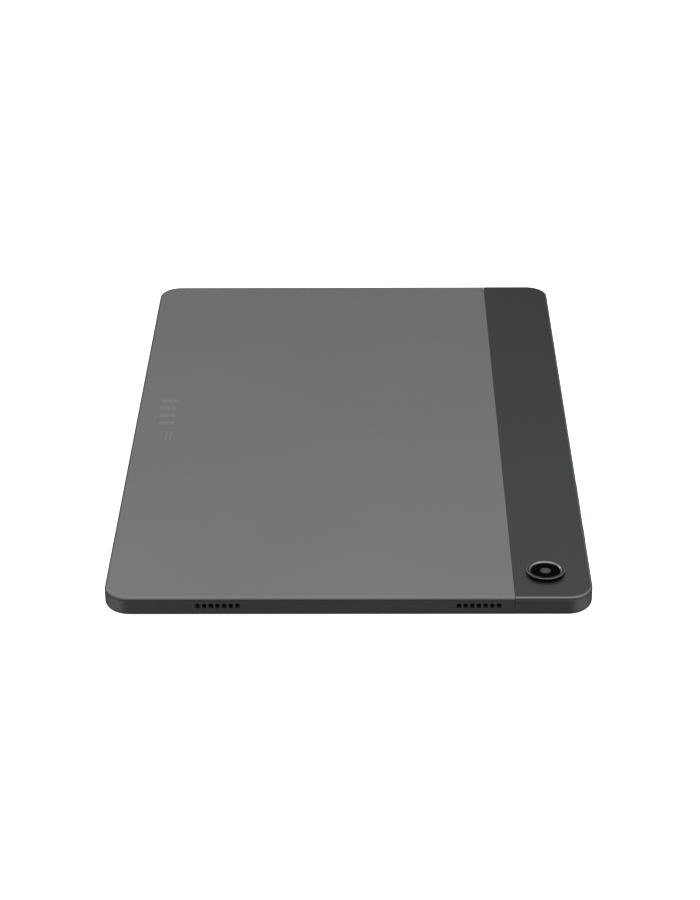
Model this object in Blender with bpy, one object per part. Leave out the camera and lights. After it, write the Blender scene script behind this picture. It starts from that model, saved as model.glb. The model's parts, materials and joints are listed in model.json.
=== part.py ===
"""Tablet computer, about 10.6 inches, lying display down, as separate solid pieces.

Metres, +Z up. The origin is under the middle of the body, on the outer face of the display glass.
+Y runs along the long side and +X points to the edge with the camera strip and the side keys.
"""
import math

import bmesh
import bpy

MM = 0.001

# Outer body
BODY_LENGTH = 251.2 * MM
BODY_WIDTH = 158.7 * MM
BODY_THICKNESS = 7.45 * MM
CORNER_RADIUS = 8.4 * MM
BACK_FILLET = 0.9 * MM
FRONT_FILLET = 2.0 * MM
METAL_RISE = 0.5 * MM
WALL = 1.3 * MM
SKIN = 0.8 * MM
FIT_GAP = 0.3 * MM
SLIDE_GAP = 0.2 * MM
THIN_GAP = 0.1 * MM
SEAM_INSET = 25.5 * MM
CORNER_STEPS = 8
FILLET_STEPS = 3

# Layers, counted up from the display glass
GLASS_THICKNESS = 0.7 * MM
GLASS_INSET = 2.3 * MM
BEZEL_LIP = 0.4 * MM
PANEL_HALF = (71.5 * MM, 117.8 * MM)
PANEL_BASE = 0.75 * MM
PANEL_TOP = 2.5 * MM
PLATE_BASE = 2.8 * MM
PLATE_TOP = 3.25 * MM
BOARD_BASE = 4.3 * MM
BOARD_TOP = 4.9 * MM
FLEX_LEVEL = 5.85 * MM
FLEX_THICKNESS = 0.12 * MM

# Side keys, card tray and ports
KEY_PROUD = 0.3 * MM
KEY_HEIGHT = 2.0 * MM
KEY_LEVEL = 4.7 * MM
POWER_LENGTH = 11.0 * MM
POWER_Y = -79.3 * MM
VOLUME_LENGTH = 21.5 * MM
VOLUME_Y = -53.85 * MM
KEY_FLEX_FACE = 75.18 * MM
TRAY_Y = 78.8 * MM
TRAY_LENGTH = 16.8 * MM
TRAY_HEIGHT = 1.9 * MM
PORT_LEVEL = 4.6 * MM
JACK_X = -66.0 * MM
MICROPHONE_X = 14.0 * MM

# Speaker grilles in both short sides
GRILLE_X = 42.2 * MM
GRILLE_HOLES = 7
GRILLE_PITCH = 2.15 * MM
GRILLE_HOLE = (1.4 * MM, 1.65 * MM)
GRILLE_LEVEL = 4.35 * MM

# Rear camera
CAMERA_X = 64.5 * MM
CAMERA_Y = -109.6 * MM
CAMERA_RING_RADIUS = 6.35 * MM
CAMERA_RISE = 1.3 * MM
LENS_COVER_RADIUS = 4.75 * MM
LENS_COVER_THICKNESS = 0.5 * MM
LENS_COVER_DEPTH = 0.5 * MM
ROUND_STEPS = 32

HALF_X = BODY_WIDTH / 2
HALF_Y = BODY_LENGTH / 2
SEAM_X = HALF_X - SEAM_INSET
INNER_TOP = BODY_THICKNESS - SKIN
WALL_INSIDE_X = HALF_X - WALL
WALL_INSIDE_Y = HALF_Y - WALL


# ---------------------------------------------------------------- mesh tools


def finish(name, colour, metallic, roughness):
    """Return the Principled BSDF material with this name, made on first use."""
    material = bpy.data.materials.get(name)
    if material is None:
        material = bpy.data.materials.new(name)
        material.use_nodes = True
        shader = material.node_tree.nodes["Principled BSDF"]
        shader.inputs["Base Color"].default_value = (*colour, 1.0)
        shader.inputs["Metallic"].default_value = metallic
        shader.inputs["Roughness"].default_value = roughness
        material.diffuse_color = (*colour, 1.0)
    return material


def add_piece(name, mesh_work, material, origin=(0.0, 0.0, 0.0)):
    """Turn a bmesh drawn in place into an object whose origin is where it is asked for."""
    bmesh.ops.recalc_face_normals(mesh_work, faces=mesh_work.faces)
    bmesh.ops.translate(mesh_work, verts=mesh_work.verts, vec=[-value for value in origin])
    mesh = bpy.data.meshes.new(name)
    mesh_work.to_mesh(mesh)
    mesh_work.free()
    mesh.set_sharp_from_angle(angle=math.radians(35.0))
    mesh.materials.append(material)
    piece = bpy.data.objects.new(name, mesh)
    piece.location = origin
    bpy.context.scene.collection.objects.link(piece)
    return piece


def combine(target, tool, operation):
    """Cut or join a tool object with a Boolean modifier and keep the tool out of the model."""
    tool.hide_render = True
    tool.display_type = "WIRE"
    modifier = target.modifiers.new(f"{operation.lower()}_{tool.name}", "BOOLEAN")
    modifier.operation = operation
    modifier.object = tool


def cut(target, tool):
    """Remove the tool's volume from the target."""
    combine(target, tool, "DIFFERENCE")


def join(target, tool):
    """Add the tool's volume to the target."""
    combine(target, tool, "UNION")


def along(axis, first, second, level):
    """Place a point of a flat outline at a level on the axis it is extruded along."""
    points = {"X": (level, first, second), "Y": (first, level, second), "Z": (first, second, level)}
    return points[axis]


def rounded_outline(half_u, half_v, radius, centre=(0.0, 0.0), steps=CORNER_STEPS):
    """Return a rectangle outline with round corners, anticlockwise."""
    outline = []
    corners = ((1, 1), (-1, 1), (-1, -1), (1, -1))
    for quarter, (side_u, side_v) in enumerate(corners):
        for step in range(steps + 1):
            angle = (quarter + step / steps) * math.pi / 2
            u = side_u * (half_u - radius) + radius * math.cos(angle)
            v = side_v * (half_v - radius) + radius * math.sin(angle)
            outline.append((centre[0] + u, centre[1] + v))
    return outline


def circle_outline(radius, centre=(0.0, 0.0), steps=ROUND_STEPS):
    """Return a circle outline, anticlockwise."""
    turns = [2 * math.pi * step / steps for step in range(steps)]
    return [(centre[0] + radius * math.cos(a), centre[1] + radius * math.sin(a)) for a in turns]


def add_loft(mesh_work, outlines, axis="Z", closed=False):
    """Skin (outline, level) pairs that all have the same number of points."""
    loops = []
    for outline, level in outlines:
        loops.append([mesh_work.verts.new(along(axis, u, v, level)) for u, v in outline])
    pairs = list(zip(loops, loops[1:]))
    if closed:
        pairs.append((loops[-1], loops[0]))
    for lower, upper in pairs:
        for index in range(len(lower)):
            after = (index + 1) % len(lower)
            mesh_work.faces.new((lower[index], lower[after], upper[after], upper[index]))
    if not closed:
        mesh_work.faces.new(reversed(loops[0]))
        mesh_work.faces.new(loops[-1])


def loft(name, outlines, material, axis="Z", closed=False, origin=(0.0, 0.0, 0.0)):
    """Make one skinned piece."""
    mesh_work = bmesh.new()
    add_loft(mesh_work, outlines, axis, closed)
    return add_piece(name, mesh_work, material, origin)


def prism(name, outline, low, high, material, axis="Z", origin=(0.0, 0.0, 0.0)):
    """Extrude one outline between two levels of an axis."""
    return loft(name, [(outline, low), (outline, high)], material, axis, origin=origin)


def box(name, low, high, material, bevel=0.0):
    """Make a box between two corners, with its edges beveled if asked."""
    mesh_work = bmesh.new()
    bmesh.ops.create_cube(mesh_work, size=1.0)
    size = [b - a for a, b in zip(low, high)]
    middle = [(a + b) / 2 for a, b in zip(low, high)]
    bmesh.ops.scale(mesh_work, verts=mesh_work.verts, vec=size)
    bmesh.ops.translate(mesh_work, verts=mesh_work.verts, vec=middle)
    if bevel > 0.0:
        bmesh.ops.bevel(
            mesh_work, geom=mesh_work.edges[:], offset=bevel, segments=2, profile=0.5, affect="EDGES"
        )
    return add_piece(name, mesh_work, material)


def soft_slab(name, half, radius, low, high, edge, material, centre=(0.0, 0.0)):
    """Make a rounded rectangular slab whose top and bottom edges are rounded too."""
    outlines = []
    for step in range(3):
        angle = step / 2 * math.pi / 2
        outlines.append((edge * (1 - math.sin(angle)), low + edge * (1 - math.cos(angle))))
    outlines += [(inset, high - (level - low)) for inset, level in reversed(outlines)]
    rings = []
    for inset, level in outlines:
        ring = rounded_outline(half[0] - inset, half[1] - inset, radius - inset, centre, 4)
        rings.append((ring, level))
    return loft(name, rings, material)


def bent_strip(name, route, thickness, span, material, axis="Y"):
    """Make a flat cable: a folded route in the plane across the axis, as wide as the span."""
    normals = []
    for (u0, v0), (u1, v1) in zip(route, route[1:]):
        length = math.hypot(u1 - u0, v1 - v0)
        normals.append(((v0 - v1) / length, (u1 - u0) / length))
    above = []
    below = []
    for index, (u, v) in enumerate(route):
        before = normals[max(index - 1, 0)]
        after = normals[min(index, len(normals) - 1)]
        reach = 1 + before[0] * after[0] + before[1] * after[1]
        mitre_u = (before[0] + after[0]) / reach * thickness / 2
        mitre_v = (before[1] + after[1]) / reach * thickness / 2
        above.append((u + mitre_u, v + mitre_v))
        below.append((u - mitre_u, v - mitre_v))
    return prism(name, above + below[::-1], span[0], span[1], material, axis)


# ---------------------------------------------------------------- materials


def back_metal():
    return finish("back_metal", (0.19, 0.19, 0.192), 0.85, 0.42)


def strip_coat():
    return finish("strip_coat", (0.055, 0.058, 0.062), 0.2, 0.38)


def side_key_metal():
    return finish("side_key_metal", (0.16, 0.16, 0.163), 0.85, 0.4)


def frame_plastic():
    return finish("frame_plastic", (0.03, 0.03, 0.032), 0.0, 0.55)


def cover_glass():
    return finish("cover_glass", (0.01, 0.01, 0.012), 0.0, 0.06)


def panel_metal():
    return finish("panel_metal", (0.55, 0.56, 0.58), 0.9, 0.35)


def battery_wrap():
    return finish("battery_wrap", (0.035, 0.036, 0.04), 0.1, 0.5)


def board_mask():
    return finish("board_mask", (0.02, 0.09, 0.06), 0.0, 0.45)


def can_steel():
    return finish("can_steel", (0.6, 0.61, 0.62), 1.0, 0.32)


def connector_plastic():
    return finish("connector_plastic", (0.72, 0.7, 0.62), 0.0, 0.5)


def flex_film():
    return finish("flex_film", (0.42, 0.2, 0.05), 0.0, 0.4)


def speaker_plastic():
    return finish("speaker_plastic", (0.04, 0.04, 0.042), 0.0, 0.6)


def woven_mesh():
    return finish("woven_mesh", (0.05, 0.05, 0.05), 0.4, 0.7)


def camera_metal():
    return finish("camera_metal", (0.025, 0.025, 0.027), 0.8, 0.3)


def camera_glass():
    return finish("camera_glass", (0.006, 0.006, 0.008), 0.0, 0.04)


def port_steel():
    return finish("port_steel", (0.5, 0.5, 0.51), 1.0, 0.3)


def graphite_film():
    return finish("graphite_film", (0.06, 0.06, 0.065), 0.5, 0.45)


def screw_steel():
    return finish("screw_steel", (0.35, 0.35, 0.36), 1.0, 0.35)


def guide():
    return finish("guide", (1.0, 0.3, 0.1), 0.0, 0.5)


# ---------------------------------------------------------------- outer body


def inset_outline(inset):
    """Return the body's outline drawn in by a distance."""
    radius = max(CORNER_RADIUS - inset, 2.0 * MM)
    return rounded_outline(HALF_X - inset, HALF_Y - inset, radius)


def tub(name, material):
    """Make the whole metal tub: flat back, filleted edges and a wall down to the front lip."""
    section = []
    for step in range(FILLET_STEPS + 1):
        angle = step / FILLET_STEPS * math.pi / 2
        inset = BACK_FILLET * (1 - math.sin(angle))
        section.append((inset, BODY_THICKNESS - BACK_FILLET * (1 - math.cos(angle))))
    for step in range(FILLET_STEPS + 1):
        angle = step / FILLET_STEPS * math.pi / 3
        inset = FRONT_FILLET * (1 - math.cos(angle))
        section.append((inset, METAL_RISE + FRONT_FILLET * (1 - math.sin(angle))))
    lip_level = section[-1][1]
    section.append((WALL, lip_level))
    section.append((WALL, INNER_TOP - 0.5 * MM))
    section.append((WALL + 0.5 * MM, INNER_TOP))
    return loft(name, [(inset_outline(inset), level) for inset, level in section], material)


def keep_side(piece, low_x, high_x, name):
    """Cut away the part of a tub between two places across the body."""
    reach = 10.0 * MM
    tool = box(
        name, (low_x, -HALF_Y - reach, -reach), (high_x, HALF_Y + reach, BODY_THICKNESS + reach), guide()
    )
    cut(piece, tool)


def grille_cutter():
    """Make the sound holes of both short sides as one tool."""
    mesh_work = bmesh.new()
    half_u, half_v = (value / 2 for value in GRILLE_HOLE)
    for side in (-1, 1):
        for centre in (-GRILLE_X, GRILLE_X):
            for index in range(GRILLE_HOLES):
                place = centre + (index - (GRILLE_HOLES - 1) / 2) * GRILLE_PITCH
                hole = rounded_outline(half_u, half_v, 0.5 * MM, (place, GRILLE_LEVEL), 2)
                ends = ((WALL_INSIDE_Y - 1.0 * MM) * side, (HALF_Y + 1.0 * MM) * side)
                add_loft(mesh_work, [(hole, min(ends)), (hole, max(ends))], "Y")
    return add_piece("cut_grilles", mesh_work, guide())


def port_cutter():
    """Make the charging port, audio and microphone openings of the far short side as one tool."""
    mesh_work = bmesh.new()
    openings = (
        rounded_outline(4.65 * MM, 1.8 * MM, 1.75 * MM, (0.0, PORT_LEVEL), 5),
        circle_outline(1.8 * MM, (JACK_X, PORT_LEVEL), 20),
        circle_outline(0.5 * MM, (MICROPHONE_X, PORT_LEVEL), 10),
    )
    for opening in openings:
        add_loft(mesh_work, [(opening, WALL_INSIDE_Y - 1.0 * MM), (opening, HALF_Y + 1.0 * MM)], "Y")
    return add_piece("cut_ports", mesh_work, guide())


def back_cover():
    piece = tub("back_cover", back_metal())
    keep_side(piece, SEAM_X - FIT_GAP / 2, HALF_X + 10.0 * MM, "cut_back_side")
    cut(piece, grille_cutter())
    cut(piece, port_cutter())


def side_slot(length, height, gap, centre_y, level):
    """Return the outline, in Y and Z, of an opening round a key or a tray."""
    half_height = height / 2 + gap
    return rounded_outline(length / 2 + gap, half_height, 0.55 * half_height, (centre_y, level), 4)


def strip_cutter():
    """Make the openings of the strip's long edge as one tool."""
    mesh_work = bmesh.new()
    openings = (
        side_slot(POWER_LENGTH, KEY_HEIGHT, SLIDE_GAP, POWER_Y, KEY_LEVEL),
        side_slot(VOLUME_LENGTH, KEY_HEIGHT, SLIDE_GAP, VOLUME_Y, KEY_LEVEL),
        side_slot(TRAY_LENGTH, TRAY_HEIGHT, SLIDE_GAP, TRAY_Y, KEY_LEVEL),
    )
    for opening in openings:
        add_loft(mesh_work, [(opening, WALL_INSIDE_X - 1.0 * MM), (opening, HALF_X + 1.0 * MM)], "X")
    return add_piece("cut_side_openings", mesh_work, guide())


def seam_ledge():
    """Make the ledge that runs under the back cover along the seam."""
    tongue = SEAM_X - 2.8 * MM
    root = SEAM_X + 4.0 * MM
    step = SEAM_X + 0.5 * MM
    low = INNER_TOP - 0.35 * MM
    section = [
        (tongue, low),
        (root, low),
        (root, INNER_TOP + 0.2 * MM),
        (step, INNER_TOP + 0.2 * MM),
        (step, INNER_TOP - THIN_GAP),
        (tongue, INNER_TOP - THIN_GAP),
    ]
    return prism("join_ledge", section, -HALF_Y + 4.0 * MM, HALF_Y - 4.0 * MM, guide(), "Y")


def camera_strip():
    piece = tub("camera_strip", strip_coat())
    keep_side(piece, -HALF_X - 10.0 * MM, SEAM_X + FIT_GAP / 2, "cut_strip_side")
    join(piece, seam_ledge())
    cut(piece, strip_cutter())
    hole = circle_outline(5.7 * MM, (CAMERA_X, CAMERA_Y))
    cut(piece, prism("cut_camera_hole", hole, INNER_TOP - 2.0 * MM, BODY_THICKNESS + 2.0 * MM, guide()))


def mid_frame():
    """Make the frame that carries everything: bezel lip, glass ledge, plate and screw bosses."""
    outer = WALL + FIT_GAP
    pocket_x, pocket_y = (value + 0.4 * MM for value in PANEL_HALF)
    pocket = rounded_outline(pocket_x, pocket_y, 1.5 * MM)
    ledge_level = GLASS_THICKNESS + FIT_GAP
    piece = loft(
        "mid_frame",
        [
            (pocket, PLATE_BASE),
            (pocket, ledge_level),
            (inset_outline(outer + BEZEL_LIP), ledge_level),
            (inset_outline(outer + BEZEL_LIP), METAL_RISE),
            (inset_outline(outer), METAL_RISE),
            (inset_outline(outer), PLATE_TOP),
        ],
        frame_plastic(),
    )
    mesh_work = bmesh.new()
    for x, y in board_screw_places():
        boss = circle_outline(1.7 * MM, (x, y), 14)
        add_loft(mesh_work, [(boss, PLATE_TOP - 0.2 * MM), (boss, BOARD_BASE - THIN_GAP)])
    join(piece, add_piece("join_bosses", mesh_work, guide()))
    mesh_work = bmesh.new()
    for x, y in board_screw_places():
        bore = circle_outline(0.75 * MM, (x, y), 12)
        add_loft(mesh_work, [(bore, PLATE_BASE - 0.5 * MM), (bore, BOARD_TOP)])
    cut(piece, add_piece("cut_boss_bores", mesh_work, guide()))
    notches = (
        ((-4.9, 117.0), (4.9, 127.0), (2.6, 4.0)),
        ((-69.4, 111.4), (-62.6, 127.0), (2.62, 4.0)),
        ((72.7, -2.2), (77.1, 2.2), (0.2, 5.0)),
        ((70.55, 11.5), (71.5, 36.5), (2.0, 4.0)),
    )
    for index, (low, high, levels) in enumerate(notches):
        corner_low = (low[0] * MM, low[1] * MM, levels[0] * MM)
        corner_high = (high[0] * MM, high[1] * MM, levels[1] * MM)
        cut(piece, box(f"cut_frame_notch_{index + 1}", corner_low, corner_high, guide()))


def display_glass():
    """Make the cover glass, its outer edge rounded off."""
    edge = 0.35 * MM
    rings = []
    for step in range(FILLET_STEPS + 1):
        angle = step / FILLET_STEPS * math.pi / 2
        inset = GLASS_INSET + edge * (1 - math.sin(angle))
        rings.append((inset_outline(inset), edge * (1 - math.cos(angle))))
    rings.append((inset_outline(GLASS_INSET), GLASS_THICKNESS))
    loft("display_glass", rings, cover_glass())


def display_panel():
    soft_slab("display_panel", PANEL_HALF, 1.2 * MM, PANEL_BASE, PANEL_TOP, 0.15 * MM, panel_metal())


# ---------------------------------------------------------------- rear camera


def rear_camera():
    """Make the sensor body and its barrel as one turned-up block."""
    half = 4.9 * MM
    body_top = 5.9 * MM
    body = box(
        "rear_camera",
        (CAMERA_X - half, CAMERA_Y - half, PLATE_TOP + SLIDE_GAP),
        (CAMERA_X + half, CAMERA_Y + half, body_top),
        camera_metal(),
        0.25 * MM,
    )
    barrel = circle_outline(3.4 * MM, (CAMERA_X, CAMERA_Y), 28)
    join(body, prism("join_barrel", barrel, body_top - 0.5 * MM, BODY_THICKNESS + 0.2 * MM, guide()))


def camera_ring():
    """Make the raised ring: flange, neck through the strip, inner slope and a seat for the glass."""
    base = BODY_THICKNESS + 0.05 * MM
    top = BODY_THICKNESS + CAMERA_RISE
    seat = top - LENS_COVER_DEPTH - LENS_COVER_THICKNESS - 0.02 * MM
    pocket = LENS_COVER_RADIUS + THIN_GAP
    edge = 0.2 * MM
    section = [
        (3.8 * MM, INNER_TOP - 0.2 * MM),
        (5.4 * MM, INNER_TOP - 0.2 * MM),
        (5.4 * MM, base),
        (CAMERA_RING_RADIUS, base),
        (CAMERA_RING_RADIUS, top - edge),
        (CAMERA_RING_RADIUS - 0.3 * edge, top - 0.3 * edge),
        (CAMERA_RING_RADIUS - edge, top),
        (pocket + 0.55 * MM, top),
        (pocket, top - 0.42 * MM),
        (pocket, seat),
        (3.8 * MM, seat),
    ]
    rings = [(circle_outline(radius, (CAMERA_X, CAMERA_Y)), level) for radius, level in section]
    loft("camera_ring", rings, camera_metal(), closed=True)


def camera_lens_cover():
    top = BODY_THICKNESS + CAMERA_RISE - LENS_COVER_DEPTH
    outline = circle_outline(LENS_COVER_RADIUS, (CAMERA_X, CAMERA_Y))
    prism("camera_lens_cover", outline, top - LENS_COVER_THICKNESS, top, camera_glass())


def camera_flex():
    start = CAMERA_Y + 4.9 * MM + THIN_GAP
    low = PLATE_TOP + 0.5 * MM
    route = [(start, low), (start + 3.4 * MM, low), (start + 4.6 * MM, FLEX_LEVEL), (-91.5 * MM, FLEX_LEVEL)]
    bent_strip("camera_flex", route, FLEX_THICKNESS, (61.5 * MM, 68.0 * MM), flex_film(), "X")


def front_camera():
    centre = 74.9 * MM
    half = 1.9 * MM
    low = (centre - half, -half, 1.0 * MM)
    high = (centre + half, half, 4.4 * MM)
    box("front_camera", low, high, camera_metal(), 0.2 * MM)


# ---------------------------------------------------------------- side keys


def key_cap(name, length, centre_y, origin):
    """Make a key: cap through the wall, retaining flange inside it and its pushing posts."""
    half_height = KEY_HEIGHT / 2
    cap = rounded_outline(length / 2, half_height, 0.55 * half_height, (centre_y, KEY_LEVEL), 4)
    crown = rounded_outline(
        length / 2 - 0.2 * MM, half_height - 0.2 * MM, 0.4 * half_height, (centre_y, KEY_LEVEL), 4
    )
    flange = rounded_outline(
        length / 2 + 0.8 * MM, half_height + 0.3 * MM, 0.5 * MM, (centre_y, KEY_LEVEL), 4
    )
    flange_face = WALL_INSIDE_X - FIT_GAP
    rings = [
        (flange, flange_face - 0.6 * MM),
        (flange, flange_face),
        (cap, flange_face),
        (cap, HALF_X + KEY_PROUD - 0.15 * MM),
        (crown, HALF_X + KEY_PROUD),
    ]
    return loft(name, rings, side_key_metal(), "X", origin=origin)


def key_post(name, centre_y):
    """Make the post that joins a key's flange and reaches towards its dome switch."""
    face = WALL_INSIDE_X - FIT_GAP - 0.6 * MM
    low = (face - 0.7 * MM, centre_y - 1.0 * MM, KEY_LEVEL - 0.6 * MM)
    high = (face + 0.3 * MM, centre_y + 1.0 * MM, KEY_LEVEL + 0.6 * MM)
    return box(name, low, high, guide())


def volume_switch_places():
    """Return where the two switches under the volume rocker sit along the edge."""
    return [VOLUME_Y - 7.5 * MM, VOLUME_Y + 7.5 * MM]


def side_keys():
    pivot_x = WALL_INSIDE_X - FIT_GAP - 0.3 * MM
    power = key_cap("power_button", POWER_LENGTH, POWER_Y, (pivot_x, POWER_Y, KEY_LEVEL))
    join(power, key_post("join_power_post", POWER_Y))
    volume = key_cap("volume_rocker", VOLUME_LENGTH, VOLUME_Y, (pivot_x, VOLUME_Y, KEY_LEVEL))
    for index, place in enumerate(volume_switch_places()):
        join(volume, key_post(f"join_volume_post_{index + 1}", place))


def dome_switches():
    """Make the three push switches on the key cable, each a base with a low dome."""
    places = [POWER_Y] + volume_switch_places()
    names = ("power_switch", "volume_down_switch", "volume_up_switch")
    base = KEY_FLEX_FACE + 0.07 * MM
    for name, place in zip(names, places):
        plate = rounded_outline(1.5 * MM, 1.1 * MM, 0.3 * MM, (place, KEY_LEVEL), 3)
        dome = rounded_outline(1.0 * MM, 0.8 * MM, 0.7 * MM, (place, KEY_LEVEL), 3)
        tip = rounded_outline(0.7 * MM, 0.5 * MM, 0.45 * MM, (place, KEY_LEVEL), 3)
        rings = [(plate, base), (plate, base + 0.45 * MM), (dome, base + 0.45 * MM), (tip, base + 0.85 * MM)]
        loft(name, rings, can_steel(), "X")


def key_flex():
    """Make the key cable: a strip behind the switches with a tail to the main board."""
    strip = box(
        "key_flex",
        (KEY_FLEX_FACE - FLEX_THICKNESS, -90.0 * MM, 3.5 * MM),
        (KEY_FLEX_FACE, -38.0 * MM, 5.75 * MM),
        flex_film(),
    )
    tail = box(
        "join_key_tail",
        (66.0 * MM, -71.0 * MM, 5.75 * MM - FLEX_THICKNESS),
        (KEY_FLEX_FACE, -66.0 * MM, 5.75 * MM),
        guide(),
    )
    join(strip, tail)


def key_bracket():
    low = (KEY_FLEX_FACE - 0.78 * MM, -92.0 * MM, PLATE_TOP + THIN_GAP)
    high = (KEY_FLEX_FACE - 0.28 * MM, -36.0 * MM, 5.5 * MM)
    box("key_bracket", low, high, can_steel())


# ---------------------------------------------------------------- card slot


def card_tray():
    """Make the tray: face plate with its release hole, and the plate with the card's recess."""
    face_inner = WALL_INSIDE_X - 0.1 * MM
    face_outer = HALF_X - 0.05 * MM
    face = side_slot(TRAY_LENGTH, TRAY_HEIGHT, 0.0, TRAY_Y, KEY_LEVEL)
    origin = (face_inner, TRAY_Y, KEY_LEVEL)
    tray = prism("card_tray", face, face_inner, face_outer, side_key_metal(), "X", origin)
    plate_y = TRAY_Y + 1.4 * MM
    plate = box(
        "join_tray_plate",
        (60.5 * MM, plate_y - 6.4 * MM, KEY_LEVEL - 0.4 * MM),
        (face_inner + 0.5 * MM, plate_y + 6.4 * MM, KEY_LEVEL + 0.4 * MM),
        guide(),
    )
    join(tray, plate)
    recess = box(
        "cut_card_recess",
        (61.3 * MM, plate_y - 5.6 * MM, KEY_LEVEL - 0.15 * MM),
        (76.5 * MM, plate_y + 5.6 * MM, KEY_LEVEL + 2.0 * MM),
        guide(),
    )
    cut(tray, recess)
    window = box(
        "cut_contact_window",
        (62.3 * MM, plate_y - 4.6 * MM, KEY_LEVEL - 2.0 * MM),
        (68.0 * MM, plate_y + 4.6 * MM, KEY_LEVEL + 1.0 * MM),
        guide(),
    )
    cut(tray, window)
    pin_hole = circle_outline(0.45 * MM, (TRAY_Y - 6.7 * MM, KEY_LEVEL), 10)
    cut(tray, prism("cut_pin_hole", pin_hole, face_inner - 1.0 * MM, HALF_X + 1.0 * MM, guide(), "X"))


def card_socket():
    """Make the sheet-metal socket round the tray, open towards the edge."""
    plate_y = TRAY_Y + 1.4 * MM
    outer = box(
        "card_socket",
        (59.4 * MM, plate_y - 7.05 * MM, KEY_LEVEL - 1.0 * MM),
        (75.4 * MM, plate_y + 7.05 * MM, KEY_LEVEL + 1.0 * MM),
        can_steel(),
    )
    hollow = box(
        "cut_socket_hollow",
        (59.7 * MM, plate_y - 6.75 * MM, KEY_LEVEL - 0.7 * MM),
        (77.0 * MM, plate_y + 6.75 * MM, KEY_LEVEL + 0.7 * MM),
        guide(),
    )
    cut(outer, hollow)


def card_ejector():
    """Make the push rod beside the socket, with the hook that meets the tray's end."""
    rod_y = TRAY_Y - 6.7 * MM
    outline = [
        (58.2 * MM, rod_y - 0.3 * MM),
        (76.6 * MM, rod_y - 0.3 * MM),
        (76.6 * MM, rod_y + 0.3 * MM),
        (59.0 * MM, rod_y + 0.3 * MM),
        (59.0 * MM, rod_y + 4.0 * MM),
        (58.2 * MM, rod_y + 4.0 * MM),
    ]
    prism("card_ejector", outline, KEY_LEVEL - 0.3 * MM, KEY_LEVEL + 0.3 * MM, can_steel())


# ---------------------------------------------------------------- power and boards


def batteries():
    half = (23.8 * MM, 88.0 * MM)
    for name, centre_x in (("battery_cell_left", -50.2 * MM), ("battery_cell_right", -0.6 * MM)):
        soft_slab(name, half, 2.0 * MM, 3.45 * MM, 6.15 * MM, 0.6 * MM, battery_wrap(), (centre_x, 0.0))
    box("battery_board", (-40.0 * MM, -95.5 * MM, 3.8 * MM), (12.0 * MM, -90.5 * MM, 4.4 * MM), board_mask())
    route = [(2.0 * MM, 4.6 * MM), (24.5 * MM, 4.6 * MM), (26.5 * MM, FLEX_LEVEL), (37.5 * MM, FLEX_LEVEL)]
    bent_strip("battery_lead", route, FLEX_THICKNESS, (-94.5 * MM, -91.5 * MM), flex_film())


def graphite_sheet():
    low = (-72.0 * MM, -86.0 * MM, 6.3 * MM)
    high = (21.0 * MM, 86.0 * MM, 6.4 * MM)
    box("graphite_sheet", low, high, graphite_film())


def board_screw_places():
    """Return the places of the screws that hold the two boards."""
    places = ((31.5, -75.0), (67.5, -55.0), (31.5, 60.0), (67.5, 60.0), (-21.0, 98.5), (21.0, 112.0))
    return [(x * MM, y * MM) for x, y in places]


def main_board():
    """Make the L-shaped main board, drilled for its screws."""
    outline = [(29.0, -97.0), (69.6, -97.0), (69.6, 66.0), (50.0, 66.0), (50.0, 95.0), (29.0, 95.0)]
    board = prism("main_board", [(x * MM, y * MM) for x, y in outline], BOARD_BASE, BOARD_TOP, board_mask())
    cut(board, screw_hole_cutter("cut_main_board_holes", board_screw_places()[:4]))


def screw_hole_cutter(name, places):
    """Make the clearance holes of a board's screws as one tool."""
    mesh_work = bmesh.new()
    for place in places:
        hole = circle_outline(0.8 * MM, place, 12)
        add_loft(mesh_work, [(hole, BOARD_BASE - 0.5 * MM), (hole, BOARD_TOP + 0.5 * MM)])
    return add_piece(name, mesh_work, guide())


def shield_can(name, low, high):
    """Make a pressed shield: a lid with walls and an open underside."""
    base = BOARD_TOP + THIN_GAP
    top = 6.05 * MM
    can = box(name, (low[0] * MM, low[1] * MM, base), (high[0] * MM, high[1] * MM, top), can_steel())
    inner_low = ((low[0] + 0.3) * MM, (low[1] + 0.3) * MM, base - 1.0 * MM)
    inner_high = ((high[0] - 0.3) * MM, (high[1] - 0.3) * MM, top - 0.2 * MM)
    cut(can, box(f"cut_{name}_hollow", inner_low, inner_high, guide()))


def board_chip(name, low, high, top):
    """Make a chip or a connector standing on a board."""
    base = BOARD_TOP + THIN_GAP
    box(name, (low[0] * MM, low[1] * MM, base), (high[0] * MM, high[1] * MM, top), connector_plastic())


def board_parts():
    shield_can("processor_shield", (34.0, -40.0), (62.0, 4.0))
    shield_can("radio_shield", (33.0, 14.0), (60.0, 50.0))
    connector_top = FLEX_LEVEL - FLEX_THICKNESS / 2 - THIN_GAP / 2
    board_chip("display_connector", (64.6, 14.0), (69.0, 34.0), connector_top)
    board_chip("battery_connector", (33.0, -95.0), (38.5, -91.0), connector_top)
    board_chip("camera_connector", (61.5, -96.0), (68.0, -92.0), connector_top)
    board_chip("link_connector_main", (34.5, 85.5), (41.5, 89.5), connector_top)
    board_chip("link_connector_port", (9.0, 99.5), (15.0, 105.0), connector_top)
    board_chip("key_connector", (64.5, -72.0), (68.5, -65.0), 5.58 * MM)


def display_flex():
    low = (PANEL_TOP + PLATE_BASE) / 2
    route = [(60.0 * MM, low), (71.03 * MM, low), (71.03 * MM, FLEX_LEVEL), (64.8 * MM, FLEX_LEVEL)]
    bent_strip("display_flex", route, FLEX_THICKNESS, (12.5 * MM, 35.5 * MM), flex_film())


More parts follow.
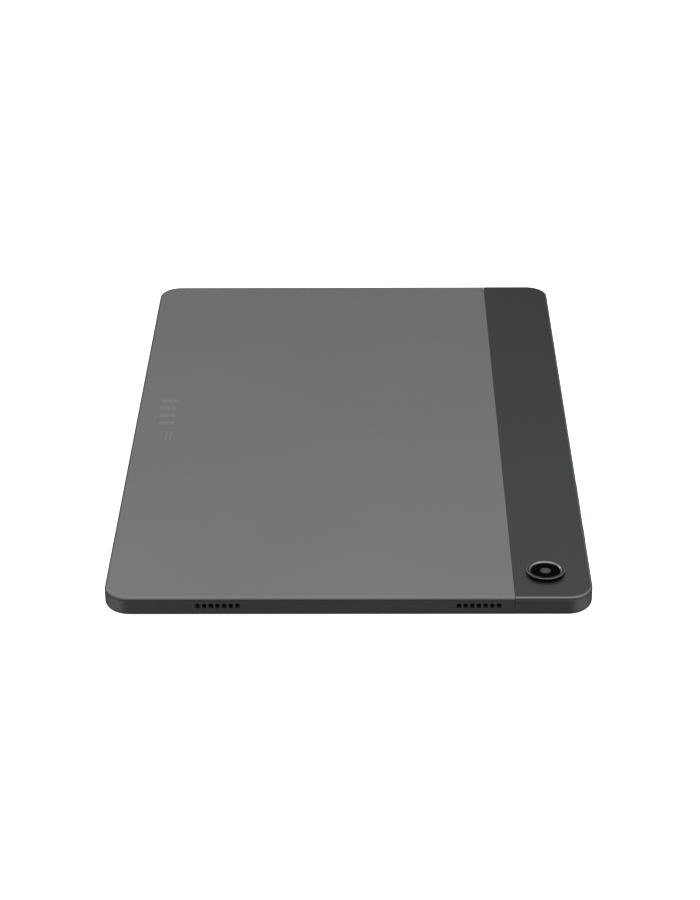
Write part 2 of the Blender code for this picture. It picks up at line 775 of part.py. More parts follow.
def link_flex():
    """Make the L-shaped cable between the main board and the port board."""
    outline = [(8.5, 98.8), (34.0, 98.8), (34.0, 85.0), (42.0, 85.0), (42.0, 105.8), (8.5, 105.8)]
    corners = [(x * MM, y * MM) for x, y in outline]
    half = FLEX_THICKNESS / 2
    prism("link_flex", corners, FLEX_LEVEL - half, FLEX_LEVEL + half, flex_film())


def antenna_flexes():
    for name, low, high in (
        ("antenna_near", (60.0, -72.0), (76.0, -56.0)),
        ("antenna_far", (60.0, 96.0), (76.0, 118.0)),
    ):
        box(name, (low[0] * MM, low[1] * MM, 6.38 * MM), (high[0] * MM, high[1] * MM, 6.5 * MM), flex_film())


# ---------------------------------------------------------------- ports and sound


def port_board():
    """Make the port board, with a slot for the charging port and holes for its screws."""
    outline = [(-24.0, 96.0), (24.0, 96.0), (24.0, 121.0), (4.9, 121.0)]
    outline += [(4.9, 116.8), (-4.9, 116.8), (-4.9, 121.0), (-24.0, 121.0)]
    board = prism("port_board", [(x * MM, y * MM) for x, y in outline], BOARD_BASE, BOARD_TOP, board_mask())
    cut(board, screw_hole_cutter("cut_port_board_holes", board_screw_places()[4:]))


def charging_port():
    """Make the port's steel sleeve, open to the outside, and the contact tongue in it."""
    back = 117.2 * MM
    front = HALF_Y - 0.4 * MM
    half_u = 4.4 * MM
    half_v = 1.6 * MM
    sleeve = prism(
        "charging_port_sleeve",
        rounded_outline(half_u, half_v, 1.5 * MM, (0.0, PORT_LEVEL), 5),
        back,
        front,
        port_steel(),
        "Y",
    )
    bore = rounded_outline(half_u - 0.25 * MM, half_v - 0.25 * MM, 1.25 * MM, (0.0, PORT_LEVEL), 5)
    cut(sleeve, prism("cut_port_bore", bore, back + 0.6 * MM, front + 1.0 * MM, guide(), "Y"))
    box(
        "charging_port_tongue",
        (-3.3 * MM, back + 0.7 * MM, PORT_LEVEL - 0.35 * MM),
        (3.3 * MM, front - 1.2 * MM, PORT_LEVEL + 0.35 * MM),
        frame_plastic(),
    )


def audio_jack():
    """Make the audio socket's block with its round bore."""
    back = 112.0 * MM
    front = WALL_INSIDE_Y - FIT_GAP
    half_v = 1.85 * MM
    block = box(
        "audio_jack",
        (JACK_X - 3.0 * MM, back, PORT_LEVEL - half_v),
        (JACK_X + 3.0 * MM, front, PORT_LEVEL + half_v),
        frame_plastic(),
    )
    bore = circle_outline(1.75 * MM, (JACK_X, PORT_LEVEL), 20)
    cut(block, prism("cut_jack_bore", bore, back + 0.8 * MM, front + 1.0 * MM, guide(), "Y"))


def jack_flex():
    """Make the cable from the audio socket to the port board."""
    outline = [(-68.0, 101.0), (-17.0, 101.0), (-17.0, 105.0)]
    outline += [(-64.0, 105.0), (-64.0, 111.6), (-68.0, 111.6)]
    low = BOARD_TOP + THIN_GAP
    prism("jack_flex", [(x * MM, y * MM) for x, y in outline], low, low + FLEX_THICKNESS, flex_film())


def microphone():
    base = BOARD_TOP + THIN_GAP
    low = (MICROPHONE_X - 1.5 * MM, 118.2 * MM, base)
    high = (MICROPHONE_X + 1.5 * MM, 120.6 * MM, base + 0.95 * MM)
    box("microphone", low, high, can_steel(), 0.15 * MM)


def corner_places():
    """Return the name ending and the sides of the four sound corners."""
    return (("near_left", -1, -1), ("near_right", 1, -1), ("far_left", -1, 1), ("far_right", 1, 1))


def speakers():
    """Make the four speaker boxes, each with a mouth behind its grille."""
    for ending, side_x, side_y in corner_places():
        centre = side_x * GRILLE_X
        shape = [(-15.0, 108.0), (15.0, 108.0), (15.0, 120.5), (8.0, 120.5)]
        shape += [(8.0, 123.3), (-8.0, 123.3), (-8.0, 120.5), (-15.0, 120.5)]
        outline = [(centre + x * MM, side_y * y * MM) for x, y in shape]
        speaker = prism(f"speaker_{ending}", outline, 3.45 * MM, 6.0 * MM, speaker_plastic())
        ends = (side_y * 120.0 * MM, side_y * 125.0 * MM)
        mouth_low = (centre - 7.2 * MM, min(ends), 3.75 * MM)
        mouth_high = (centre + 7.2 * MM, max(ends), 5.6 * MM)
        cut(speaker, box(f"cut_mouth_{ending}", mouth_low, mouth_high, guide()))


def speaker_meshes():
    """Make the dust mesh between each speaker and its grille."""
    for ending, side_x, side_y in corner_places():
        centre = side_x * GRILLE_X
        ends = (side_y * 123.6 * MM, side_y * 124.0 * MM)
        low = (centre - 8.0 * MM, min(ends), 3.45 * MM)
        high = (centre + 8.0 * MM, max(ends), 6.1 * MM)
        box(f"speaker_mesh_{ending}", low, high, woven_mesh())


# ---------------------------------------------------------------- screws


def board_screws():
    """Make the board screws: a low head over the board and a shank in the frame's boss."""
    head_base = BOARD_TOP + THIN_GAP
    for index, place in enumerate(board_screw_places()):
        section = [
            (0.5 * MM, PLATE_TOP - 0.1 * MM),
            (0.5 * MM, head_base),
            (1.15 * MM, head_base),
            (1.15 * MM, head_base + 0.35 * MM),
            (0.9 * MM, head_base + 0.5 * MM),
        ]
        rings = [(circle_outline(radius, place, 14), level) for radius, level in section]
        screw = loft(f"board_screw_{index + 1}", rings, screw_steel())
        reach = 0.7 * MM
        half = 0.14 * MM
        slot_low = (place[0] - reach, place[1] - half, head_base + 0.25 * MM)
        slot_high = (place[0] + reach, place[1] + half, head_base + 1.0 * MM)
        cut(screw, box(f"cut_slot_{index + 1}", slot_low, slot_high, guide()))


def main():
    for item in list(bpy.data.objects):
        bpy.data.objects.remove(item, do_unlink=True)
    back_cover()
    camera_strip()
    mid_frame()
    display_glass()
    display_panel()
    rear_camera()
    camera_ring()
    camera_lens_cover()
    camera_flex()
    front_camera()
    side_keys()
    dome_switches()
    key_flex()
    key_bracket()
    card_tray()
    card_socket()
    card_ejector()
    batteries()
    graphite_sheet()
    main_board()
    board_parts()
    display_flex()
    link_flex()
    antenna_flexes()
    port_board()
    charging_port()
    audio_jack()
    jack_flex()
    microphone()
    speakers()
    speaker_meshes()
    board_screws()


if __name__ == "__main__":
    main()
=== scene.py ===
"""Looks of a slate tablet computer that lies display down on a pale table.

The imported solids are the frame. Every solid that shows is rebuilt here with fine edges and a
procedural finish, and the parts inside keep their solids and get finishes of their own.
"""
from __future__ import annotations

import json
import logging
import math
from dataclasses import dataclass, field
from enum import Enum

import bmesh
import bpy
from mathutils import Euler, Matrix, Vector

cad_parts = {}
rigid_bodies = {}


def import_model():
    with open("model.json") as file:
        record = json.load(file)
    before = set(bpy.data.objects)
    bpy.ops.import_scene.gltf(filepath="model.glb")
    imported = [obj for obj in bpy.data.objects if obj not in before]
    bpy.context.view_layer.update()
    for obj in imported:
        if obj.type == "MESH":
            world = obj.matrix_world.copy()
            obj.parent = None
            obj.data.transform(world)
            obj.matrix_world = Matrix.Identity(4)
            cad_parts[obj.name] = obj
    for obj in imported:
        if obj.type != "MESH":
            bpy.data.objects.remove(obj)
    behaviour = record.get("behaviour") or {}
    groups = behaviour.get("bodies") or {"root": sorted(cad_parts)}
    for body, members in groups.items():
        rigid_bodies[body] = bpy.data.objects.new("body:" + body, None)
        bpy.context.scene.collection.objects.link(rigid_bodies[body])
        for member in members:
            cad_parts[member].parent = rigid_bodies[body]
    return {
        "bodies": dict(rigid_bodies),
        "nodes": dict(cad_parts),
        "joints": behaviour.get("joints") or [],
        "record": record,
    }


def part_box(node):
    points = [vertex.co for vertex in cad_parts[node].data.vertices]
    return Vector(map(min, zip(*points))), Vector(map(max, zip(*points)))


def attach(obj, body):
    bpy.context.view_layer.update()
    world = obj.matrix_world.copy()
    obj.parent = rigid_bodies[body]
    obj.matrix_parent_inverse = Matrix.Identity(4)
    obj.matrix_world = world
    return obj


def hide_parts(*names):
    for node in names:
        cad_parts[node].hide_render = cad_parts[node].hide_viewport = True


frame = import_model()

LOG = logging.getLogger("tablet")
MM = 0.001
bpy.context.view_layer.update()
Point = tuple[float, float]
Place = tuple[float, float, float]
Ring = tuple[list[Point], float]
Colour = tuple[float, float, float]
Socket = bpy.types.NodeSocket
Material = bpy.types.Material
Piece = bpy.types.Object
ORIGIN = (0.0, 0.0)
END_ROUND = 0.62  # corner radius of the long edge's keys and slots, as a share of their half height


class Axis(Enum):
    """The axis an outline is swept along, with the order its two flat axes take."""

    X = "X"
    Y = "Y"
    Z = "Z"

    def place(self, first: float, second: float, level: float) -> Place:
        """Return a point of a flat outline at a level on this axis.

        Args:
            first: the point's first flat coordinate.
            second: the point's second flat coordinate.
            level: how far along this axis it is.

        Returns:
            The point in space.
        """
        if self is Axis.X:
            return (level, first, second)
        if self is Axis.Y:
            return (first, level, second)
        return (first, second, level)


class Body(Enum):
    """The rigid bodies that pieces ride on."""

    TABLET = "tablet"
    POWER_KEY = "power_key"
    VOLUME_KEY = "volume_key"
    TRAY = "tray"


# ---------------------------------------------------------------- node and mesh tools


def corners(node: str) -> tuple[Vector, Vector]:
    """Return a solid's lowest and highest corners."""
    low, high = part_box(node)
    return Vector(low), Vector(high)


def seen_from_above(node: str) -> Point:
    """Return the middle of a solid's box as it is seen from above."""
    low, high = corners(node)
    return ((low.x + high.x) / 2, (low.y + high.y) / 2)


def shaded(colour: Colour, factor: float) -> Colour:
    """Return a colour made lighter or darker."""
    return tuple(value * factor for value in colour)


class ShaderSheet:
    """A material's node tree with short calls for the nodes that the finishes share."""

    def __init__(self, name: str) -> None:
        """Start a material that holds one Principled BSDF.

        Args:
            name: the material's name.
        """
        self.material = bpy.data.materials.new(name)
        self.material.use_nodes = True
        self.tree = self.material.node_tree
        self.shader = self.tree.nodes["Principled BSDF"]
        self.objects = self.add("ShaderNodeTexCoord").outputs["Object"]

    def add(self, kind: str, **settings: object) -> bpy.types.Node:
        """Add a node and set its properties.

        Args:
            kind: the node's class name.
            **settings: its properties by name.

        Returns:
            The new node.
        """
        node = self.tree.nodes.new(kind)
        for key, value in settings.items():
            setattr(node, key, value)
        return node

    def feed(self, socket: Socket, value: object) -> None:
        """Link a socket to an output, or set its value.

        Args:
            socket: the input socket.
            value: an output socket, a number or a tuple.
        """
        if isinstance(value, Socket):
            self.tree.links.new(value, socket)
        else:
            socket.default_value = value

    def set(self, **values: object) -> None:
        """Set or feed the Principled BSDF's inputs, named with underscores for spaces."""
        for key, value in values.items():
            self.feed(self.shader.inputs[key.replace("_", " ")], value)

    def stretched(self, scale: Place, shift: Place = (0.0, 0.0, 0.0)) -> Socket:
        """Return object coordinates that are shifted and scaled, for patterns with a direction.

        Args:
            scale: how many times finer the pattern gets along each axis.
            shift: how far it is moved.

        Returns:
            The coordinates.
        """
        mapping = self.add("ShaderNodeMapping", vector_type="POINT")
        self.feed(mapping.inputs["Vector"], self.objects)
        self.feed(mapping.inputs["Scale"], scale)
        self.feed(mapping.inputs["Location"], shift)
        return mapping.outputs["Vector"]

    def noise(self, size: float, detail: float = 2.0, at: object = None) -> Socket:
        """Return a noise value between about 0.3 and 0.7.

        Args:
            size: the size of its spots in metres.
            detail: how many finer layers it has.
            at: the coordinates it reads, object coordinates if left out.

        Returns:
            The noise factor.
        """
        node = self.add("ShaderNodeTexNoise")
        self.feed(node.inputs["Vector"], self.objects if at is None else at)
        self.feed(node.inputs["Scale"], 1.0 / size)
        self.feed(node.inputs["Detail"], detail)
        return node.outputs["Fac"]

    def maths(self, operation: str, first: object, second: object = 0.0) -> Socket:
        """Return the result of a two-input Math node.

        Args:
            operation: the node's operation.
            first: a number or an output socket.
            second: a number or an output socket.

        Returns:
            The node's result.
        """
        node = self.add("ShaderNodeMath", operation=operation)
        self.feed(node.inputs[0], first)
        self.feed(node.inputs[1], second)
        return node.outputs[0]

    def ranged(self, value: object, low: float, high: float, to_low: float, to_high: float) -> Socket:
        """Map a value from one range to another and clamp it.

        Args:
            value: the value, a number or an output socket.
            low: the low end.
            high: the high end.
            to_low: what the low end becomes.
            to_high: what the high end becomes.

        Returns:
            The mapped value.
        """
        node = self.add("ShaderNodeMapRange", clamp=True)
        for index, entry in enumerate((value, low, high, to_low, to_high)):
            self.feed(node.inputs[index], entry)
        return node.outputs["Result"]

    def blend(self, factor: object, first: object, second: object) -> Socket:
        """Mix two colours by a factor.

        Args:
            factor: the share of the second colour.
            first: a colour or an output socket.
            second: a colour or an output socket.

        Returns:
            The mixed colour.
        """
        node = self.add("ShaderNodeMix", data_type="RGBA")
        self.feed(node.inputs["Factor"], factor)
        for socket, value in ((node.inputs[6], first), (node.inputs[7], second)):
            self.feed(socket, (*value, 1.0) if isinstance(value, tuple) else value)
        return node.outputs[2]

    def apart(self) -> tuple[Socket, ...]:
        """Return the three object coordinates.

        Returns:
            The sockets of X, Y and Z.
        """
        node = self.add("ShaderNodeSeparateXYZ")
        self.feed(node.inputs[0], self.objects)
        return tuple(node.outputs)

    def from_axis(self, middle: Point) -> Socket:
        """Return the distance from an upright axis.

        Args:
            middle: where the axis stands.

        Returns:
            The distance in metres.
        """
        x, y, _ = self.apart()
        offset_x = self.maths("SUBTRACT", x, middle[0])
        offset_y = self.maths("SUBTRACT", y, middle[1])
        squares = self.maths("ADD", self.maths("POWER", offset_x, 2.0), self.maths("POWER", offset_y, 2.0))
        return self.maths("SQRT", squares)

    def wave(self, place: object, pitch: float) -> Socket:
        """Return a sine wave between -1 and 1 over a place, with the given pitch."""
        return self.maths("SINE", self.maths("MULTIPLY", place, 2 * math.pi / pitch))

    def within(self, value: object, middle: float, half: float, soft: float) -> Socket:
        """Return 1 where a value lies within half of a middle, falling to 0 over a soft edge."""
        distance = self.maths("ABSOLUTE", self.maths("SUBTRACT", value, middle))
        return self.ranged(distance, half - soft, half + soft, 1.0, 0.0)

    def relief(self, height: object, depth: float, strength: float = 1.0) -> None:
        """Give the surface a bump.

        Args:
            height: the height between 0 and 1.
            depth: what a height of 1 stands for, in metres.
            strength: the bump's strength.
        """
        node = self.add("ShaderNodeBump")
        self.feed(node.inputs["Strength"], strength)
        self.feed(node.inputs["Distance"], depth)
        self.feed(node.inputs["Height"], height)
        self.set(Normal=node.outputs["Normal"])


class GeometrySheet:
    """A Geometry Nodes tree with named inputs, built in steps and run once on an empty mesh."""

    def __init__(self, name: str) -> None:
        """Start a tree with its group input and output.

        Args:
            name: the tree's name.
        """
        self.tree = bpy.data.node_groups.new(name, "GeometryNodeTree")
        self.tree.interface.new_socket(name="Geometry", in_out="OUTPUT", socket_type="NodeSocketGeometry")
        self.source = self.tree.nodes.new("NodeGroupInput")
        self.target = self.tree.nodes.new("NodeGroupOutput")
        self.values: dict[str, object] = {}

    def ask(self, name: str, kind: str, value: object) -> Socket:
        """Add a named input with the value this tablet uses.

        Args:
            name: the input's name.
            kind: Float, Int, Vector, Material or Object.
            value: the value that the modifier gets.

        Returns:
            The group input's output socket.
        """
        socket = self.tree.interface.new_socket(name=name, in_out="INPUT", socket_type=f"NodeSocket{kind}")
        self.values[socket.identifier] = value
        return self.source.outputs[name]

    def add(self, kind: str, inputs: dict[str, object] | None = None, **settings: object) -> bpy.types.Node:
        """Add a node, set its properties and feed its inputs.

        Args:
            kind: the node's class name without its GeometryNode prefix, or a full class name.
            inputs: values or output sockets by input name.
            **settings: the node's properties.

        Returns:
            The new node.
        """
        full = kind if kind.startswith(("Shader", "Function")) else f"GeometryNode{kind}"
        node = self.tree.nodes.new(full)
        for key, value in settings.items():
            setattr(node, key, value)
        for key, value in (inputs or {}).items():
            socket = node.inputs[key]
            if isinstance(value, Socket):
                self.tree.links.new(value, socket)
            else:
                socket.default_value = value
        return node

    def vector(self, x: object, y: object, z: object) -> Socket:
        """Combine three values, each a number or a socket, into a vector."""
        return self.add("ShaderNodeCombineXYZ", {"X": x, "Y": y, "Z": z}).outputs[0]

    def maths(self, operation: str, first: object, second: object = 0.0) -> Socket:
        """Return the result of a Math node on one or two values."""
        return self.add("ShaderNodeMath", {0: first, 1: second}, operation=operation).outputs[0]

    def swept(self, path: Socket, profile: Socket) -> Socket:
        """Return a profile swept along a path, closed at both ends."""
        inputs = {"Curve": path, "Profile Curve": profile, "Fill Caps": True}
        return self.add("CurveToMesh", inputs).outputs[0]

    def row(self, count: object, start: object, offset: object, instance: Socket) -> Socket:
        """Return copies of a geometry in a row.

        Args:
            count: how many copies.
            start: where the first one stands.
            offset: the step from one to the next.
            instance: the geometry.

        Returns:
            The copies.
        """
        line = self.add("MeshLine", {"Count": count, "Start Location": start, "Offset": offset})
        inputs = {"Points": line.outputs[0], "Instance": instance}
        return self.add("InstanceOnPoints", inputs).outputs[0]

    def joined(self, *parts: Socket) -> Socket:
        """Join geometries.

        Args:
            *parts: the geometries.

        Returns:
            The joined geometry.
        """
        node = self.add("JoinGeometry")
        for part in parts:
            self.tree.links.new(part, node.inputs[0])
        return node.outputs[0]

    def finish(self, geometry: Socket, material: Material) -> None:
        """Realise the instances, set the material and end the tree.

        Args:
            geometry: the geometry to put out.
            material: the finish it gets.
        """
        coat = self.ask("Finish", "Material", material)
        real = self.add("RealizeInstances", {"Geometry": geometry})
        dressed = self.add("SetMaterial", {"Geometry": real.outputs[0], "Material": coat})
        self.tree.links.new(dressed.outputs[0], self.target.inputs[0])

    def run(self, name: str) -> Piece:
        """Evaluate the tree and keep its result as a plain mesh object.

        Args:
            name: the object's name.

        Returns:
            The object, with no modifier left.
        """
        carrier = bpy.data.objects.new(name, bpy.data.meshes.new(f"{name}_seed"))
        bpy.context.scene.collection.objects.link(carrier)
        modifier = carrier.modifiers.new("Nodes", "NODES")
        modifier.node_group = self.tree
        for identifier, value in self.values.items():
            modifier[identifier] = value
        return applied(carrier)


def applied(piece: Piece) -> Piece:
    """Replace a piece's mesh by what its modifiers make, and remove them.

    Args:
        piece: the object.

    Returns:
        The same object.
    """
    graph = bpy.context.evaluated_depsgraph_get()
    mesh = bpy.data.meshes.new_from_object(piece.evaluated_get(graph), depsgraph=graph)
    mesh.name = piece.name
    piece.modifiers.clear()
    piece.data = mesh
    return piece


def rounded(half_u: float, half_v: float, radius: float, steps: int, centre: Point = ORIGIN) -> list[Point]:
    """Return a rectangle outline with round corners, anticlockwise.

    Args:
        half_u: half its size along the first axis.
        half_v: half its size along the second axis.
        radius: the corner radius.
        steps: segments in each corner.
        centre: its middle.

    Returns:
        The outline's points.
    """
    outline = []
    for quarter, (side_u, side_v) in enumerate(((1, 1), (-1, 1), (-1, -1), (1, -1))):
        for step in range(steps + 1):
            angle = (quarter + step / steps) * math.pi / 2
            u = side_u * (half_u - radius) + radius * math.cos(angle)
            v = side_v * (half_v - radius) + radius * math.sin(angle)
            outline.append((centre[0] + u, centre[1] + v))
    return outline


def circle(radius: float, steps: int, centre: Point = ORIGIN) -> list[Point]:
    """Return a circle outline, anticlockwise."""
    turns = [2 * math.pi * step / steps for step in range(steps)]
    return [(centre[0] + radius * math.cos(a), centre[1] + radius * math.sin(a)) for a in turns]


def arc(middle: Point, radius: float, start: float, end: float, steps: int) -> list[Point]:
    """Return points on an arc, with both ends, angles in degrees.

    Args:
        middle: the circle's middle.
        radius: its radius.
        start: the first angle.
        end: the last angle.
        steps: how many segments it has.

    Returns:
        The arc's points.
    """
    points = []
    for step in range(steps + 1):
        angle = math.radians(start + (end - start) * step / steps)
        points.append((middle[0] + radius * math.cos(angle), middle[1] + radius * math.sin(angle)))
    return points


def add_loft(work: bmesh.types.BMesh, rings: list[Ring], axis: Axis = Axis.Z, closed: bool = False) -> None:
    """Skin rings that all have the same number of points.

    Args:
        work: the mesh to add to.
        rings: pairs of an outline and its level.
        axis: the axis the levels lie on.
        closed: join the last ring to the first in place of capping both ends.
    """
    loops = [[work.verts.new(axis.place(u, v, level)) for u, v in outline] for outline, level in rings]
    pairs = list(zip(loops, loops[1:]))
    if closed:
        pairs.append((loops[-1], loops[0]))
    for lower, upper in pairs:
        for index in range(len(lower)):
            after = (index + 1) % len(lower)
            work.faces.new((lower[index], lower[after], upper[after], upper[index]))
    if not closed:
        work.faces.new(reversed(loops[0]))
        work.faces.new(loops[-1])


def keep_mesh(name: str, work: bmesh.types.BMesh, *finishes: Material) -> Piece:
    """Turn a bmesh into a piece with outward faces, shaded smooth below 35 degrees.

    Args:
        name: the piece's name.
        work: the mesh drawn in place, freed here.
        *finishes: its materials, in slot order.

    Returns:
        The new object.
    """
    bmesh.ops.recalc_face_normals(work, faces=work.faces)
    mesh = bpy.data.meshes.new(name)
    work.to_mesh(mesh)
    work.free()
    mesh.shade_smooth()
    mesh.set_sharp_from_angle(angle=math.radians(35.0))
    for finish in finishes:
        mesh.materials.append(finish)
    piece = bpy.data.objects.new(name, mesh)
    bpy.context.scene.collection.objects.link(piece)
    return piece


def lofted(
    name: str, rings: list[Ring], finish: Material, axis: Axis = Axis.Z, closed: bool = False
) -> Piece:
    """Make a piece from one skinned set of rings.

    Args:
        name: its name.
        rings: pairs of an outline and its level.
        finish: its material.
        axis: the axis the levels lie on.
        closed: join the last ring to the first in place of capping both ends.

    Returns:
        The new object.
    """
    work = bmesh.new()
    add_loft(work, rings, axis, closed)
    return keep_mesh(name, work, finish)


def turned(
    name: str, section: list[Point], middle: Point, steps: int, finish: Material, closed: bool = False
) -> Piece:
    """Make a turned piece about a vertical axis.

    Args:
        name: the piece's name.
        section: pairs of a radius and a level.
        middle: where the axis stands.
        steps: segments round the axis.
        finish: its material.
        closed: join the section's ends, for a ring.

    Returns:
        The new object.
    """
    rings = [(circle(radius, steps, middle), level) for radius, level in section]
    return lofted(name, rings, finish, Axis.Z, closed)


def carve(piece: Piece, *tools: Piece) -> None:
    """Cut tools out of a piece for good, and remove them.

    Args:
        piece: the piece.
        *tools: the cutting pieces.
    """
    for tool in tools:
        modifier = piece.modifiers.new(tool.name, "BOOLEAN")
        modifier.operation = "DIFFERENCE"
        modifier.object = tool
    applied(piece)
    for tool in tools:
        bpy.data.objects.remove(tool)


def soften(piece: Piece, width: float, segments: int = 2) -> None:
    """Break a piece's sharp edges with a narrow round bevel for good.

    Args:
        piece: the piece.
        width: the bevel's width.
        segments: how many segments it has.
    """
    modifier = piece.modifiers.new("broken_edges", "BEVEL")
    modifier.width = width
    modifier.segments = segments
    modifier.limit_method = "ANGLE"
    modifier.angle_limit = math.radians(38.0)
    modifier.harden_normals = True
    modifier.use_clamp_overlap = True
    applied(piece)


def hand_over(piece: Piece, body: Body, slot: str, *nodes: str) -> Piece:
    """Ride a finished piece on its body and let it stand for solids.

    Args:
        piece: the finished piece.
        body: the body it moves with.
        slot: the record's material slot, not used.
        *nodes: the solids it replaces.

    Returns:
        The piece.
    """
    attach(piece, body.value)
    if nodes:
        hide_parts(*nodes)
    stands_for = ", ".join(nodes) or "no solid"
    LOG.info("%s: %d faces, on %s, for %s", piece.name, len(piece.data.polygons), body.value, stands_for)
    return piece


# ---------------------------------------------------------------- finishes


@dataclass(frozen=True)
class BlastedMetal:
    """Bead-blasted and anodised aluminium: a fine even grain with a slow drift in tone."""

    name: str
    colour: Colour
    roughness: float = 0.34
    metallic: float = 0.85
    grain: float = 0.16 * MM
    grain_depth: float = 0.0012 * MM
    drift: float = 0.02
    rim: float = 0.35

    def make(self) -> Material:
        """Return the finished material.

        Returns:
            The finished material.
        """
        sheet = ShaderSheet(self.name)
        cloud = sheet.noise(60 * MM, 1.0)
        speck = sheet.noise(self.grain, 2.0)
        low, high = shaded(self.colour, 1 - self.drift), shaded(self.colour, 1 + self.drift)
        tone = sheet.blend(sheet.ranged(cloud, 0.3, 0.7, 0.0, 1.0), low, high)
        tone = sheet.blend(sheet.ranged(speck, 0.35, 0.65, 0.22, 0.0), tone, shaded(self.colour, 0.94))
        patch = sheet.noise(self.grain * 6, 1.0)
        rough = sheet.ranged(patch, 0.3, 0.7, self.roughness - 0.02, self.roughness + 0.02)
        sheet.set(Base_Color=tone, Metallic=self.metallic, Roughness=rough)
        sheet.set(Specular_Tint=(self.rim, self.rim, self.rim, 1.0))
        sheet.relief(speck, self.grain_depth)
        return sheet.material


@dataclass(frozen=True)
class SatinCoat:
    """Painted or moulded satin surface with a fine texture and a faint cast towards one colour."""

    name: str
    colour: Colour
    cast: Colour
    roughness: float = 0.38
    grain: float = 0.2 * MM
    grain_depth: float = 0.001 * MM

    def make(self) -> Material:
        """Return the finished material.

        Returns:
            The finished material.
        """
        sheet = ShaderSheet(self.name)
        cloud = sheet.noise(45 * MM, 1.0)
        speck = sheet.noise(self.grain, 2.0)
        tone = sheet.blend(sheet.ranged(cloud, 0.38, 0.62, 0.0, 1.0), self.colour, self.cast)
        tone = sheet.blend(sheet.ranged(speck, 0.35, 0.65, 0.25, 0.0), tone, shaded(self.colour, 0.85))
        rough = sheet.ranged(speck, 0.3, 0.7, self.roughness - 0.03, self.roughness + 0.03)
        sheet.set(Base_Color=tone, Roughness=rough)
        sheet.relief(speck, self.grain_depth)
        return sheet.material


@dataclass(frozen=True)
class ScreenGlass:
    """Cover glass over a dark display: ink border, slightly paler display field and camera window."""

    name: str
    field_half: Point
    window: Point
    window_radius: float

    def make(self) -> Material:
        """Return the finished material.

        Returns:
            The finished material.
        """
        sheet = ShaderSheet(self.name)
        x, y, _ = sheet.apart()
        across = sheet.within(x, 0.0, self.field_half[0], 0.05 * MM)
        along = sheet.within(y, 0.0, self.field_half[1], 0.05 * MM)
        field_mask = sheet.maths("MULTIPLY", across, along)
        tone = sheet.blend(field_mask, (0.004, 0.004, 0.0045), (0.011, 0.011, 0.013))
        distance = sheet.from_axis(self.window)
        ring = sheet.within(distance, self.window_radius, 0.12 * MM, 0.04 * MM)
        pupil = sheet.ranged(distance, self.window_radius * 0.45, self.window_radius * 0.55, 1.0, 0.0)
        tone = sheet.blend(ring, tone, (0.03, 0.03, 0.034))
        tone = sheet.blend(pupil, tone, (0.01, 0.012, 0.03))
        smear = sheet.noise(18 * MM, 3.0, sheet.stretched((1.0, 0.35, 1.0)))
        sheet.set(
            Base_Color=tone,
            Roughness=sheet.ranged(smear, 0.45, 0.75, 0.035, 0.11),
            Coat_Weight=0.6,
            Coat_Roughness=0.03,
            IOR=1.5,
        )
        return sheet.material


@dataclass(frozen=True)
class LensGlass:
    """Black-backed lens cover: polished, with a faint bluish film towards its middle."""

    name: str
    middle: Point
    clear_radius: float
    film: Colour = (0.006, 0.008, 0.012)
    density: float = 1.02

    def make(self) -> Material:
        """Return the finished material.

        Returns:
            The finished material.
        """
        sheet = ShaderSheet(self.name)
        nearness = sheet.ranged(sheet.from_axis(self.middle), 0.0, self.clear_radius, 1.0, 0.0)
        tone = sheet.blend(nearness, (0.0025, 0.0025, 0.003), self.film)
        dust = sheet.noise(0.4 * MM, 2.0)
        sheet.set(
            Base_Color=tone,
            Roughness=sheet.ranged(dust, 0.5, 0.8, 0.03, 0.08),
            IOR=self.density,
        )
        return sheet.material


@dataclass(frozen=True)
class SpunMetal:
    """Metal that was turned on a lathe: fine rings about an axis, polished or satin."""

    name: str
    colour: Colour
    middle: Point
    roughness: float = 0.18
    ring_pitch: float = 0.12 * MM
    depth: float = 0.0008 * MM

    def make(self) -> Material:
        """Return the finished material.

        Returns:
            The finished material.
        """
        sheet = ShaderSheet(self.name)
        _, _, z = sheet.apart()
        rings = sheet.wave(sheet.maths("ADD", sheet.from_axis(self.middle), z), self.ring_pitch)
        grain = sheet.noise(0.5 * MM, 3.0)
        height = sheet.maths("ADD", sheet.maths("MULTIPLY", rings, 0.25), grain)
        share = sheet.ranged(grain, 0.35, 0.65, 0.0, 1.0)
        tone = sheet.blend(share, self.colour, shaded(self.colour, 0.8))
        rough = sheet.ranged(grain, 0.3, 0.7, self.roughness * 0.8, self.roughness * 1.3)
        sheet.set(Base_Color=tone, Metallic=1.0, Roughness=rough)
        sheet.relief(height, self.depth)
        return sheet.material


@dataclass(frozen=True)
class WovenMesh:
    """Fine black dust mesh, woven over and under, with painted shade where the wires dip under."""

    name: str
    pitch: float = 0.22 * MM

    def make(self) -> Material:
        """Return the finished material.

        Returns:
            The finished material.
        """
        sheet = ShaderSheet(self.name)
        x, _, z = sheet.apart()
        weave = sheet.maths("MULTIPLY", sheet.wave(x, self.pitch), sheet.wave(z, self.pitch))
        height = sheet.ranged(weave, -1.0, 1.0, 0.0, 1.0)
        # painted shade: the low parts of the weave, where the wires pass under, are painted darker; the same
        # height also drives the bump
        tone = sheet.blend(height, (0.003, 0.003, 0.003), (0.02, 0.02, 0.021))
        sheet.set(Base_Color=tone, Roughness=0.75, Metallic=0.2)
        sheet.relief(height, 0.04 * MM)
        return sheet.material


